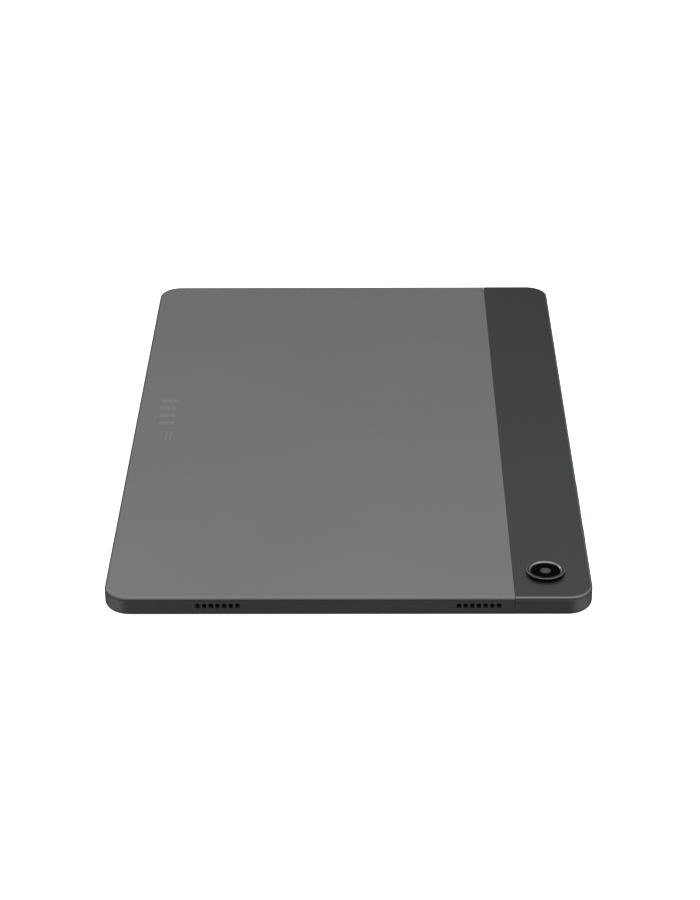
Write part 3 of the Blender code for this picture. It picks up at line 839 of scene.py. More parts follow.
@dataclass(frozen=True)
class PouchFilm:
    """Laminated battery film: dark, with soft creases and a fine embossed diamond grain."""

    name: str
    colour: Colour
    pitch: float = 0.9 * MM

    def make(self) -> Material:
        """Return the finished material.

        Returns:
            The finished material.
        """
        sheet = ShaderSheet(self.name)
        x, y, _ = sheet.apart()
        crease = sheet.noise(9 * MM, 4.0)
        first = sheet.wave(sheet.maths("ADD", x, y), self.pitch)
        second = sheet.wave(sheet.maths("SUBTRACT", x, y), self.pitch)
        diamonds = sheet.ranged(sheet.maths("MULTIPLY", first, second), -1.0, 1.0, 0.0, 0.2)
        share = sheet.ranged(crease, 0.35, 0.65, 0.0, 1.0)
        tone = sheet.blend(share, self.colour, shaded(self.colour, 1.6))
        sheet.set(Base_Color=tone, Metallic=0.6, Roughness=sheet.ranged(crease, 0.3, 0.7, 0.28, 0.45))
        sheet.relief(sheet.maths("ADD", crease, diamonds), 0.12 * MM)
        return sheet.material


@dataclass(frozen=True)
class SolderMask:
    """Circuit board: green mask over copper routes, with bare plated dots."""

    name: str
    colour: Colour
    route: Colour
    plated: Colour = (0.62, 0.5, 0.24)
    pitch: float = 2.4 * MM
    dot_pitch: float = 1.7 * MM

    def make(self) -> Material:
        """Return the finished material.

        Returns:
            The finished material.
        """
        sheet = ShaderSheet(self.name)
        routes = sheet.add(
            "ShaderNodeTexBrick", offset=0.37, offset_frequency=3, squash=1.7, squash_frequency=2
        )
        sheet.feed(routes.inputs["Vector"], sheet.stretched((1.0, 1.0, 1.0), (1.1 * MM, 0.7 * MM, 0.0)))
        for name, value in (("Scale", 1.0 / self.pitch), ("Mortar Size", 0.045), ("Mortar Smooth", 0.15)):
            sheet.feed(routes.inputs[name], value)
        dots = sheet.add("ShaderNodeTexVoronoi", voronoi_dimensions="2D")
        sheet.feed(dots.inputs["Vector"], sheet.objects)
        sheet.feed(dots.inputs["Scale"], 1.0 / self.dot_pitch)
        bare = sheet.ranged(dots.outputs["Distance"], 0.1, 0.13, 1.0, 0.0)
        tone = sheet.blend(routes.outputs["Fac"], self.colour, self.route)
        tone = sheet.blend(bare, tone, self.plated)
        rough = sheet.ranged(sheet.noise(3 * MM, 2.0), 0.3, 0.7, 0.26, 0.36)
        sheet.set(Base_Color=tone, Metallic=bare, Roughness=rough)
        sheet.relief(sheet.maths("ADD", routes.outputs["Fac"], bare), 0.02 * MM)
        return sheet.material


@dataclass(frozen=True)
class PressedSteel:
    """Plated sheet steel: drawn lines along one way, faint stains and a soft sheen."""

    name: str
    colour: Colour
    roughness: float = 0.3
    stretch: Place = (1.0, 0.06, 1.0)

    def make(self) -> Material:
        """Return the finished material.

        Returns:
            The finished material.
        """
        sheet = ShaderSheet(self.name)
        lines = sheet.noise(0.35 * MM, 3.0, sheet.stretched(self.stretch))
        stain = sheet.noise(8 * MM, 3.0)
        dark = shaded(self.colour, 0.72)
        tone = sheet.blend(sheet.ranged(stain, 0.4, 0.7, 0.0, 0.5), self.colour, dark)
        tone = sheet.blend(sheet.ranged(lines, 0.3, 0.7, 0.3, 0.0), tone, dark)
        rough = sheet.ranged(stain, 0.3, 0.7, self.roughness - 0.06, self.roughness + 0.08)
        sheet.set(Base_Color=tone, Metallic=1.0, Roughness=rough)
        sheet.relief(lines, 0.004 * MM)
        return sheet.material


@dataclass(frozen=True)
class TrackedFilm:
    """Amber film with copper tracks that show through it."""

    name: str
    film: Colour
    copper: Colour
    pitch: float = 0.6 * MM
    lengthwise: bool = True

    def make(self) -> Material:
        """Return the finished material.

        Returns:
            The finished material.
        """
        sheet = ShaderSheet(self.name)
        x, y, _ = sheet.apart()
        across = x if self.lengthwise else y
        track = sheet.ranged(sheet.wave(across, self.pitch), -0.1, 0.25, 0.0, 1.0)
        cloud = sheet.noise(5 * MM, 2.0)
        tone = sheet.blend(track, self.film, self.copper)
        tone = sheet.blend(sheet.ranged(cloud, 0.35, 0.7, 0.0, 0.35), tone, shaded(self.film, 0.6))
        sheet.set(Base_Color=tone, Metallic=sheet.ranged(track, 0.0, 1.0, 0.1, 0.6), Coat_Weight=0.5)
        sheet.set(Roughness=sheet.ranged(cloud, 0.3, 0.7, 0.24, 0.34))
        sheet.relief(track, 0.012 * MM)
        return sheet.material


@dataclass(frozen=True)
class RibbedPlastic:
    """Moulded connector plastic with a row of plated contacts let into it."""

    name: str
    colour: Colour
    plated: Colour = (0.7, 0.56, 0.26)
    pitch: float = 0.5 * MM

    def make(self) -> Material:
        """Return the finished material.

        Returns:
            The finished material.
        """
        sheet = ShaderSheet(self.name)
        x, y, _ = sheet.apart()
        grid = sheet.maths("MULTIPLY", sheet.wave(x, self.pitch), sheet.wave(y, self.pitch))
        contact = sheet.ranged(grid, 0.35, 0.5, 0.0, 1.0)
        speck = sheet.noise(0.25 * MM, 2.0)
        share = sheet.ranged(speck, 0.35, 0.65, 0.0, 0.3)
        tone = sheet.blend(share, self.colour, shaded(self.colour, 0.8))
        tone = sheet.blend(contact, tone, self.plated)
        sheet.set(Base_Color=tone, Metallic=contact, Roughness=sheet.ranged(speck, 0.3, 0.7, 0.4, 0.5))
        sheet.relief(sheet.maths("ADD", contact, speck), 0.015 * MM)
        return sheet.material


class Finishes:
    """Every finish of the tablet, made once."""

    def __init__(self, lens_middle: Point, window: Point) -> None:
        """Make the finishes.

        Args:
            lens_middle: where the rear camera's axis stands.
            window: where the front camera looks through the cover glass.
        """
        self.back = BlastedMetal("anodised_back", (0.21, 0.21, 0.211)).make()
        self.rim = BlastedMetal("anodised_rim", (0.2, 0.201, 0.203), roughness=0.33).make()
        self.strip = BlastedMetal("strip_coat_metal", (0.079, 0.0825, 0.083), roughness=0.38, rim=0.2).make()
        self.key = BlastedMetal("key_metal", (0.15, 0.151, 0.154), roughness=0.32).make()
        self.bezel = SatinCoat(
            "bezel_plastic", (0.014, 0.014, 0.015), (0.016, 0.016, 0.017), 0.5, 0.12 * MM, 0.004 * MM
        ).make()
        self.glass = ScreenGlass("display_cover_glass", (69.35 * MM, 115.55 * MM), window, 1.5 * MM).make()
        self.lens = LensGlass("lens_cover_glass", lens_middle, 2.4 * MM).make()
        self.element = LensGlass(
            "lens_element_glass", lens_middle, 1.4 * MM, film=(0.006, 0.009, 0.02), density=1.55
        ).make()
        self.ring_wall = SpunMetal("camera_ring_black", (0.035, 0.035, 0.037), lens_middle, 0.32).make()
        self.ring_edge = SpunMetal("camera_ring_polished", (0.25, 0.255, 0.26), lens_middle, 0.22).make()
        self.lens_barrel = SpunMetal("lens_barrel_grey", (0.075, 0.075, 0.073), lens_middle, 0.3).make()
        self.mesh = WovenMesh("dust_mesh").make()
        self.wire = PressedSteel("mesh_wire", (0.02, 0.02, 0.021), 0.45, (1.0, 1.0, 1.0)).make()
        self.mark = BlastedMetal("mark_metal", (0.25, 0.25, 0.251)).make()
        self.port = PressedSteel("port_plated_steel", (0.42, 0.42, 0.43), 0.26).make()
        self.contact = PressedSteel("contact_gold", (0.75, 0.55, 0.22), 0.22, (1.0, 0.2, 1.0)).make()
        self.tinned = PressedSteel("tinned_steel", (0.6, 0.61, 0.62), 0.3).make()
        self.panel = PressedSteel("panel_tray_metal", (0.55, 0.56, 0.58), 0.24, (0.05, 1.0, 1.0)).make()
        self.screw = PressedSteel("screw_dark_steel", (0.35, 0.35, 0.36), 0.28, (1.0, 1.0, 1.0)).make()
        self.pouch = PouchFilm("battery_pouch", (0.035, 0.036, 0.04)).make()
        self.board = SolderMask("solder_mask", (0.012, 0.07, 0.045), (0.03, 0.14, 0.08)).make()
        self.ivory = RibbedPlastic("connector_ivory", (0.72, 0.7, 0.62)).make()
        self.film = TrackedFilm("tracked_film", (0.42, 0.2, 0.05), (0.6, 0.3, 0.12)).make()
        self.film_across = TrackedFilm(
            "tracked_film_across", (0.42, 0.2, 0.05), (0.6, 0.3, 0.12), lengthwise=False
        ).make()
        self.graphite = PouchFilm("graphite_foil", (0.06, 0.06, 0.065), 1.6 * MM).make()
        self.frame = SatinCoat(
            "frame_moulding", (0.03, 0.03, 0.032), (0.034, 0.034, 0.036), 0.45, 0.3 * MM, 0.006 * MM
        ).make()
        self.speaker = SatinCoat(
            "speaker_moulding", (0.04, 0.04, 0.042), (0.034, 0.034, 0.036), 0.42, 0.25 * MM, 0.005 * MM
        ).make()
        self.seal = SatinCoat(
            "seal_rubber", (0.05, 0.012, 0.01), (0.06, 0.014, 0.012), 0.6, 0.3 * MM, 0.004 * MM
        ).make()
        self.dark_hollow = SatinCoat(
            "moulded_black", (0.006, 0.006, 0.006), (0.008, 0.008, 0.008), 0.6, 0.3 * MM, 0.006 * MM
        ).make()


# ---------------------------------------------------------------- outer covers


@dataclass(frozen=True)
class EdgeShape:
    """The round edge of a cover: how far it runs in and drops, and the slope left at its lower end."""

    run: float
    drop: float
    crease: float

    def points(self, top: float, steps: int) -> list[Point]:
        """Return the edge's points as pairs of an inset and a level, from the flat back outwards.

        Args:
            top: the flat back's level.
            steps: how many segments it has.

        Returns:
            The edge's points.
        """
        slope = math.radians(self.crease)
        across = self.run / math.cos(slope)
        down = self.drop / (1.0 - math.sin(slope))
        unit = arc((0.0, 0.0), 1.0, 90.0, 180.0 - self.crease, steps)
        return [(self.run + u * across, top - down + v * down) for u, v in unit]


@dataclass
class BodyShape:
    """The metal body: a flat back, a round edge down to a fine groove, and a wall to the front lip."""

    low: Vector
    high: Vector
    back_level: float
    corner_radius: float = 8.4 * MM
    groove: Point = (0.24 * MM, 0.4 * MM)
    groove_drop: float = 0.82 * MM
    front_fillet: float = 2.0 * MM
    metal_rise: float = 0.5 * MM
    wall: float = 1.3 * MM
    skin: float = 0.8 * MM
    seam_gap: float = 0.15 * MM
    corner_steps: int = 28
    fillet_steps: int = 12
    support: float = 0.12 * MM
    strip_width: float = 25.5 * MM
    seam_x: float = field(init=False)
    half_x: float = field(init=False)
    half_y: float = field(init=False)

    def __post_init__(self) -> None:
        """Work out the half sizes and the seam's place from the solids' boxes."""
        self.half_x = (self.high.x - self.low.x) / 2
        self.half_y = (self.high.y - self.low.y) / 2
        self.seam_x = self.high.x - self.strip_width

    def outline(self, inset: float) -> list[Point]:
        """Return the body's outline drawn in by a distance."""
        radius = max(self.corner_radius - inset, 2.0 * MM)
        return rounded(self.half_x - inset, self.half_y - inset, radius, self.corner_steps)

    def section(self, edge: EdgeShape) -> list[Point]:
        """Return the wall's section as pairs of an inset and a level, from the back to the inside.

        Args:
            edge: the shape of the round edge.

        Returns:
            The section's points.
        """
        top = self.back_level
        depth, height = self.groove
        groove_top = top - self.groove_drop
        groove_foot = groove_top - height
        centre = (self.front_fillet, self.metal_rise + self.front_fillet)
        low_arc = arc(centre, self.front_fillet, 180.0, 240.0, self.fillet_steps)
        lip = low_arc[-1][1]
        inner_top = top - self.skin
        chamfer = 0.5 * MM
        points = [(edge.run + self.support, top)] + edge.points(top, self.fillet_steps)
        points += [(0.0, groove_top), (depth, groove_top), (depth, groove_foot), (0.0, groove_foot)]
        points += [(0.0, groove_foot - self.support), (0.0, low_arc[0][1] + self.support)]
        points += low_arc
        points += [(self.wall, lip), (self.wall, inner_top - chamfer), (self.wall + chamfer, inner_top)]
        return points

    def tub(self, name: str, edge: EdgeShape, finish: Material) -> Piece:
        """Return the whole tub as one piece.

        Args:
            name: the piece's name.
            edge: the shape of its round edge.
            finish: its material.

        Returns:
            The new object.
        """
        rings = [(self.outline(inset), level) for inset, level in self.section(edge)]
        return lofted(name, rings, finish)

    def side_block(self, low_x: float, high_x: float) -> Piece:
        """Return a cutting block that covers the tub between two places across it.

        Args:
            low_x: where the block starts.
            high_x: where it ends.

        Returns:
            The cutter.
        """
        reach = 10 * MM
        middle = (low_x + high_x) / 2
        outline = rounded((high_x - low_x) / 2, self.half_y + reach, 1 * MM, 1, (middle, 0.0))
        levels = [(outline, -reach), (outline, self.back_level + reach)]
        return lofted("seam_cutter", levels, self.tool_finish())

    @staticmethod
    def tool_finish() -> Material:
        """Return the plain material that cutting tools wear."""
        return bpy.data.materials.get("cutter") or bpy.data.materials.new("cutter")


@dataclass
class GrilleHoles:
    """Sound holes in both short sides: rows of rounded squares, cut with one tool."""

    shape: BodyShape
    row_x: float = 42.2 * MM
    holes: int = 7
    pitch: float = 2.15 * MM
    width: float = 1.4 * MM
    height: float = 1.65 * MM
    corner: float = 0.4 * MM
    level: float = 4.35 * MM
    depth: float = 3.0 * MM

    def tool(self) -> Piece:
        """Return the cutter of all rows, made by Geometry Nodes.

        Returns:
            The cutter.
        """
        sheet = GeometrySheet("grille_rows")
        holes = sheet.ask("Holes", "Int", self.holes)
        pitch = sheet.ask("Pitch", "Float", self.pitch)
        width = sheet.ask("Width", "Float", self.width)
        height = sheet.ask("Height", "Float", self.height)
        corner = sheet.ask("Corner", "Float", self.corner)
        level = sheet.ask("Level", "Float", self.level)
        square = sheet.add("CurvePrimitiveQuadrilateral", {"Width": width, "Height": height})
        soft_inputs = {"Curve": square.outputs[0], "Radius": corner, "Count": 5}
        soft = sheet.add("FilletCurve", soft_inputs, mode="POLY")
        ends = {"Start": (0, -self.depth / 2, 0), "End": (0, self.depth / 2, 0)}
        path = sheet.add("CurvePrimitiveLine", ends)
        plug = sheet.swept(path.outputs[0], soft.outputs[0])
        half_row = sheet.maths("MULTIPLY", sheet.maths("SUBTRACT", holes, 1.0), -0.5)
        start = sheet.maths("MULTIPLY", half_row, pitch)
        step = sheet.vector(pitch, 0.0, 0.0)
        rows = []
        for side in (-1.0, 1.0):
            for centre in (-self.row_x, self.row_x):
                first = sheet.maths("ADD", start, centre)
                place = sheet.vector(first, side * self.shape.half_y, level)
                rows.append(sheet.row(holes, place, step, plug))
        sheet.finish(sheet.joined(*rows), BodyShape.tool_finish())
        return sheet.run("grille_cutter")


@dataclass
class BackCover:
    """The grey metal cover with the sound holes and the far side's openings."""

    shape: BodyShape
    finishes: Finishes
    edge: EdgeShape = EdgeShape(0.95 * MM, 0.8 * MM, 24.0)
    port_level: float = 4.6 * MM
    port_half: Point = (4.65 * MM, 1.8 * MM)
    port_corner: float = 1.79 * MM
    jack_x: float = -66.0 * MM
    jack_radius: float = 1.8 * MM
    microphone_x: float = 14.0 * MM
    microphone_radius: float = 0.5 * MM
    edge_break: float = 0.07 * MM

    def openings(self) -> Piece:
        """Return the cutter of the port, the audio socket and the microphone hole.

        Returns:
            The cutter.
        """
        work = bmesh.new()
        outlines = (
            rounded(*self.port_half, self.port_corner, 12, (0.0, self.port_level)),
            circle(self.jack_radius, 48, (self.jack_x, self.port_level)),
            circle(self.microphone_radius, 24, (self.microphone_x, self.port_level)),
        )
        wall = self.shape.half_y
        for outline in outlines:
            add_loft(work, [(outline, wall - 3 * MM), (outline, wall + 2 * MM)], Axis.Y)
        return keep_mesh("opening_cutter", work, BodyShape.tool_finish())

    def build(self) -> Piece:
        """Return the finished cover.

        Returns:
            The finished piece.
        """
        cover = self.shape.tub("back_shell", self.edge, self.finishes.back)
        seam = self.shape.seam_x - self.shape.seam_gap / 2
        carve(cover, self.shape.side_block(seam, self.shape.half_x + 10 * MM))
        carve(cover, GrilleHoles(self.shape).tool(), self.openings())
        soften(cover, self.edge_break)
        return hand_over(cover, Body.TABLET, "back_metal", "back_cover")


@dataclass
class StripCover:
    """The darker cover along the long edge, with openings for the camera, the keys and the tray."""

    shape: BodyShape
    finishes: Finishes
    slots: list[tuple[Vector, Vector]]
    lens: Point
    edge: EdgeShape = EdgeShape(0.85 * MM, 0.62 * MM, 8.0)
    hole_radius: float = 5.75 * MM
    slot_gap: float = 0.12 * MM
    flat_slope: float = 0.97
    edge_break: float = 0.07 * MM

    def openings(self) -> Piece:
        """Return the cutter of the long edge's slots and of the camera's hole.

        Returns:
            The cutter.
        """
        work = bmesh.new()
        wall = self.shape.half_x
        for low, high in self.slots:
            half_v = (high.z - low.z) / 2 + self.slot_gap
            half_u = (high.y - low.y) / 2 + self.slot_gap
            middle = ((low.y + high.y) / 2, (low.z + high.z) / 2)
            outline = rounded(half_u, half_v, half_v * END_ROUND, 10, middle)
            add_loft(work, [(outline, wall - 3 * MM), (outline, wall + 2 * MM)], Axis.X)
        hole = circle(self.hole_radius, 96, self.lens)
        top = self.shape.back_level
        add_loft(work, [(hole, top - 3 * MM), (hole, top + 3 * MM)])
        return keep_mesh("strip_opening_cutter", work, BodyShape.tool_finish())

    def build(self) -> Piece:
        """Return the finished strip.

        Returns:
            The finished piece.
        """
        strip = self.shape.tub("strip_shell", self.edge, self.finishes.strip)
        seam = self.shape.seam_x + self.shape.seam_gap / 2
        carve(strip, self.shape.side_block(-self.shape.half_x - 10 * MM, seam))
        carve(strip, self.openings())
        soften(strip, self.edge_break)
        strip.data.materials.append(self.finishes.rim)
        top = self.shape.back_level
        for face in strip.data.polygons:
            flat = face.normal.z > self.flat_slope and face.center.z > top - 0.05 * MM
            face.material_index = 0 if flat else 1
        return hand_over(strip, Body.TABLET, "strip_coat", "camera_strip")


@dataclass
class SeamBacking:
    """The dark ledge that closes the seam from below."""

    shape: BodyShape
    finishes: Finishes

    def build(self) -> Piece:
        """Return the ledge, just under both covers.

        Returns:
            The finished piece.
        """
        low = self.shape.back_level - self.shape.skin - 0.35 * MM
        high = self.shape.back_level - self.shape.skin - 0.05 * MM
        outline = rounded(3.0 * MM, self.shape.half_y - 4 * MM, 0.5 * MM, 3, (self.shape.seam_x, 0.0))
        ledge = lofted("seam_ledge", [(outline, low), (outline, high)], self.finishes.dark_hollow)
        return hand_over(ledge, Body.TABLET, "frame_plastic")


# ---------------------------------------------------------------- rear camera


@dataclass
class RearCamera:
    """The raised ring with its polished slope, the lens cover and the lens stack in it."""

    middle: Point
    base: float
    finishes: Finishes
    rise: float = 1.3 * MM
    outer: float = 6.35 * MM
    inner: float = 4.85 * MM
    slope_top: float = 5.38 * MM
    slope_drop: float = 0.42 * MM
    cover_drop: float = 0.5 * MM
    neck: float = 5.4 * MM
    lip: float = 0.14 * MM
    well: float = 1.75 * MM
    barrel: float = 1.7 * MM
    steps: int = 128

    def ring(self) -> Piece:
        """Return the ring: black wall, narrow polished lip and a polished slope down to the glass.

        Returns:
            The finished piece.
        """
        top = self.base + self.rise
        lip = self.lip
        seat = top - self.slope_drop
        foot = self.base + 0.01 * MM
        bottom = self.base - 1.0 * MM
        shelf, shelf_level = self.inner - 0.6 * MM, seat - 0.62 * MM
        section = [(shelf, bottom), (self.neck, bottom)]
        section += [(self.neck, foot), (self.outer - 0.05 * MM, foot)]
        section += [(self.outer, foot + 0.05 * MM), (self.outer, top - lip - 0.05 * MM)]
        section += arc((self.outer - lip, top - lip), lip, 0.0, 90.0, 6)
        section += [(self.slope_top + 0.06 * MM, top), (self.slope_top, top - 0.02 * MM)]
        section += [(self.inner + 0.05 * MM, seat + 0.02 * MM), (self.inner, seat - 0.04 * MM)]
        section += [(self.inner, shelf_level), (shelf, shelf_level)]
        wall, edge = self.finishes.ring_wall, self.finishes.ring_edge
        ring = turned("camera_ring_shell", section, self.middle, self.steps, wall, closed=True)
        ring.data.materials.append(edge)
        for face in ring.data.polygons:
            radius = math.hypot(face.center.x - self.middle[0], face.center.y - self.middle[1])
            on_lip = face.center.z > top - lip * 0.9 and radius > self.outer - lip
            on_slope = self.inner < radius < self.slope_top and face.center.z > seat - 0.01 * MM
            face.material_index = 1 if on_lip or on_slope else 0
        return hand_over(ring, Body.TABLET, "camera_metal", "camera_ring")

    def cover(self) -> Piece:
        """Return the lens cover with a rounded rim and a clear central well.

        Returns:
            The finished piece.
        """
        top = self.base + self.rise - self.cover_drop
        radius = self.inner - 0.06 * MM
        bottom = top - 0.45 * MM
        edge = 0.08 * MM
        section = [(self.well, bottom), (radius, bottom)]
        section += arc((radius - edge, top - edge), edge, 0.0, 90.0, 4)
        section += [(self.well + 0.15 * MM, top), (self.well, top - 0.04 * MM)]
        cover = turned("lens_cover", section, self.middle, 96, self.finishes.lens, closed=True)
        return hand_over(cover, Body.TABLET, "camera_glass", "camera_lens_cover")

    def lens(self) -> Piece:
        """Return the lens barrel: a grey stepped ring round a domed front element.

        Returns:
            The finished piece.
        """
        top = self.base + self.rise - self.cover_drop - 0.03 * MM
        outer = self.barrel
        section = [(outer, top - 1.2 * MM), (outer, top - 0.04 * MM), (outer - 0.04 * MM, top)]
        section += [(1.48 * MM, top), (1.42 * MM, top - 0.05 * MM), (1.12 * MM, top - 0.2 * MM)]
        section += [(1.05 * MM, top - 0.26 * MM)]
        barrel = turned("lens_barrel", section, self.middle, 72, self.finishes.lens_barrel)
        return hand_over(barrel, Body.TABLET, "camera_metal")

    def element(self) -> Piece:
        """Return the domed front element of the lens.

        Returns:
            The finished piece.
        """
        crown = self.base + self.rise - self.cover_drop - 0.12 * MM
        radius = 1.08 * MM
        bulge = 0.2 * MM
        sphere = (radius * radius + bulge * bulge) / (2 * bulge)
        section = [(radius, crown - bulge - 0.15 * MM)]
        for step in range(10):
            across = radius * (1 - step / 9 * 0.985)
            section.append((across, crown - sphere + math.sqrt(sphere**2 - across**2)))
        dome = turned("lens_element", section, self.middle, 48, self.finishes.element)
        return hand_over(dome, Body.TABLET, "camera_glass")

    def build(self) -> None:
        """Build every piece of the rear camera."""
        self.ring()
        self.cover()
        self.lens()
        self.element()


# ---------------------------------------------------------------- display side


@dataclass
class DisplaySide:
    """The cover glass with its rounded edge, and the plastic lip between it and the metal."""

    shape: BodyShape
    finishes: Finishes
    glass_thickness: float = 0.7 * MM
    glass_inset: float = 1.95 * MM
    edge: float = 0.38 * MM
    steps: int = 8

    def glass(self) -> Piece:
        """Return the cover glass, its outer edge rounded off towards the user.

        Returns:
            The finished piece.
        """
        rings = [(self.shape.outline(self.glass_inset + self.edge + 0.4 * MM), 0.0)]
        centre = (self.glass_inset + self.edge, self.edge)
        for inset, level in arc(centre, self.edge, 270.0, 180.0, self.steps):
            rings.append((self.shape.outline(inset), level))
        rings.append((self.shape.outline(self.glass_inset), self.glass_thickness))
        glass = lofted("cover_glass_sheet", rings, self.finishes.glass)
        return hand_over(glass, Body.TABLET, "cover_glass", "display_glass")

    def lip(self) -> Piece:
        """Return the plastic lip that fills the step between the metal and the glass.

        Returns:
            The finished piece.
        """
        inner = self.glass_inset - 0.06 * MM
        outer = self.shape.wall + 0.04 * MM
        low = self.shape.metal_rise - 0.02 * MM
        section = [(outer, 1.4 * MM), (outer, low + 0.12 * MM), (outer + 0.08 * MM, low + 0.02 * MM)]
        section += [(inner - 0.1 * MM, low), (inner, low + 0.1 * MM), (inner, 1.4 * MM)]
        rings = [(self.shape.outline(inset), level) for inset, level in section]
        lip = lofted("bezel_lip", rings, self.finishes.bezel, closed=True)
        return hand_over(lip, Body.TABLET, "frame_plastic")

    def build(self) -> None:
        """Build both pieces."""
        self.glass()
        self.lip()


# ---------------------------------------------------------------- side keys and tray


@dataclass
class SideKey:
    """One key in the long edge: a soft-edged cap with its flange and posts behind the wall."""

    node: str
    body: Body
    finishes: Finishes
    post_places: list[float]
    flange_reach: float = 0.8 * MM
    flange_rise: float = 0.3 * MM
    edge: float = 0.28 * MM
    flange_start: float = 0.7 * MM
    flange_end: float = 1.3 * MM
    post_half: Point = (1.0 * MM, 0.6 * MM)
    steps: int = 10

    def build(self) -> Piece:
        """Return the finished key.

        Returns:
            The finished piece.
        """
        low, high = corners(self.node)
        half_u = (high.y - low.y) / 2 - self.flange_reach
        half_v = (high.z - low.z) / 2 - self.flange_rise
        middle = ((low.y + high.y) / 2, (low.z + high.z) / 2)
        radius = half_v * END_ROUND

        def outline(inset: float) -> list[Point]:
            """Return the cap's outline drawn in by a distance."""
            return rounded(half_u - inset, half_v - inset, radius - inset, self.steps, middle)

        flange_back, flange_face = low.x + self.flange_start, low.x + self.flange_end
        flange_half = (half_u + self.flange_reach, half_v + self.flange_rise)
        flange = rounded(*flange_half, 0.5 * MM, self.steps, middle)
        edge_start = high.x - self.edge
        rings = [(flange, flange_back), (flange, flange_face)]
        rings += [(outline(0.0), flange_face), (outline(0.0), edge_start - 0.05 * MM)]
        for inset, rise in arc((self.edge, 0.0), self.edge, 180.0, 90.0, 6):
            rings.append((outline(inset), edge_start + rise))
        rings.append((outline(self.edge + 0.08 * MM), high.x))
        work = bmesh.new()
        add_loft(work, rings, Axis.X)
        for place in self.post_places:
            post = rounded(*self.post_half, 0.2 * MM, 4, (place, middle[1]))
            add_loft(work, [(post, low.x), (post, flange_back - 0.01 * MM)], Axis.X)
        key = keep_mesh(f"{self.node}_cap", work, self.finishes.key)
        return hand_over(key, self.body, "side_key_metal", self.node)


@dataclass
class CardTray:
    """The card tray: a face level with the wall, a rubber band behind it and the card's open frame."""

    finishes: Finishes
    low: Vector
    high: Vector
    face_depth: float = 1.35 * MM
    edge: float = 0.16 * MM
    frame_shift: float = 1.4 * MM
    frame_half: Point = (6.4 * MM, 0.4 * MM)
    pin_shift: float = 6.7 * MM
    pin_radius: float = 0.45 * MM
    pocket_half: Point = (7.6 * MM, 5.6 * MM)
    pocket_shift: float = 8.4 * MM
    window_half: Point = (2.85 * MM, 4.6 * MM)
    window_shift: float = 4.65 * MM
    edge_break: float = 0.05 * MM

    def middle(self) -> Point:
        """Return the face's middle along the wall and over its height."""
        return ((self.low.y + self.high.y) / 2, (self.low.z + self.high.z) / 2)

    def face(self) -> Piece:
        """Return the face plate with a soft edge and the hole for the release pin.

        Returns:
            The finished piece.
        """
        middle = self.middle()
        half_u = (self.high.y - self.low.y) / 2
        half_v = (self.high.z - self.low.z) / 2
        radius = half_v * END_ROUND
        inner = self.high.x - self.face_depth
        rings = [(rounded(half_u, half_v, radius, 10, middle), inner)]
        for inset, rise in arc((self.edge, 0.0), self.edge, 180.0, 90.0, 5):
            outline = rounded(half_u - inset, half_v - inset, radius - inset, 10, middle)
            rings.append((outline, self.high.x - self.edge + rise))
        face = lofted("tray_face", rings, self.finishes.key, Axis.X)
        hole = circle(self.pin_radius, 24, (middle[0] - self.pin_shift, middle[1]))
        levels = [(hole, inner - 1 * MM), (hole, self.high.x + 1 * MM)]
        carve(face, lofted("pin_cutter", levels, BodyShape.tool_finish(), Axis.X))
        soften(face, self.edge_break)
        return hand_over(face, Body.TRAY, "side_key_metal", "card_tray")

    def frame(self) -> Piece:
        """Return the open frame that holds the card, with its window for the contacts.

        Returns:
            The finished piece.
        """
        along, level = self.middle()
        along += self.frame_shift
        reach = self.high.x - self.face_depth + 0.4 * MM
        half_x = (reach - self.low.x) / 2
        outline = rounded(half_x, self.frame_half[0], 0.7 * MM, 6, (self.low.x + half_x, along))
        rings = [(outline, level - self.frame_half[1]), (outline, level + self.frame_half[1])]
        frame = lofted("tray_frame", rings, self.finishes.key)
        start = self.low.x
        pocket = rounded(*self.pocket_half, 0.8 * MM, 6, (start + self.pocket_shift, along))
        window = rounded(*self.window_half, 0.6 * MM, 6, (start + self.window_shift, along))
        past = 2 * MM
        finish = BodyShape.tool_finish()
        tool = lofted("card_pocket", [(pocket, level - 0.15 * MM), (pocket, level + past)], finish)
        through = lofted("contact_window", [(window, level - past), (window, level)], finish)
        carve(frame, tool, through)
        soften(frame, self.edge_break)
        return hand_over(frame, Body.TRAY, "side_key_metal")

    def band(self) -> Piece:
        """Return the rubber band that seals the slot.

        Returns:
            The finished piece.
        """
        along, level = self.middle()
        start = self.high.x - self.face_depth - 0.9 * MM
        section = [(0.05, 0.0), (0.2, 0.12), (0.2, 0.35), (0.05, 0.47), (-0.05, 0.47), (-0.05, 0.0)]
        rings = []
        for proud, step in section:
            half_u = self.frame_half[0] + proud * MM
            half_v = self.frame_half[1] + proud * MM
            outline = rounded(half_u, half_v, 0.3 * MM, 6, (along + self.frame_shift, level))
            rings.append((outline, start + step * MM))
        band = lofted("tray_band", rings, self.finishes.seal, Axis.X, closed=True)
        return hand_over(band, Body.TRAY, "frame_plastic")

    def build(self) -> None:
        """Build the three pieces of the tray."""
        self.face()
        self.frame()
        self.band()


# ---------------------------------------------------------------- sockets and sound


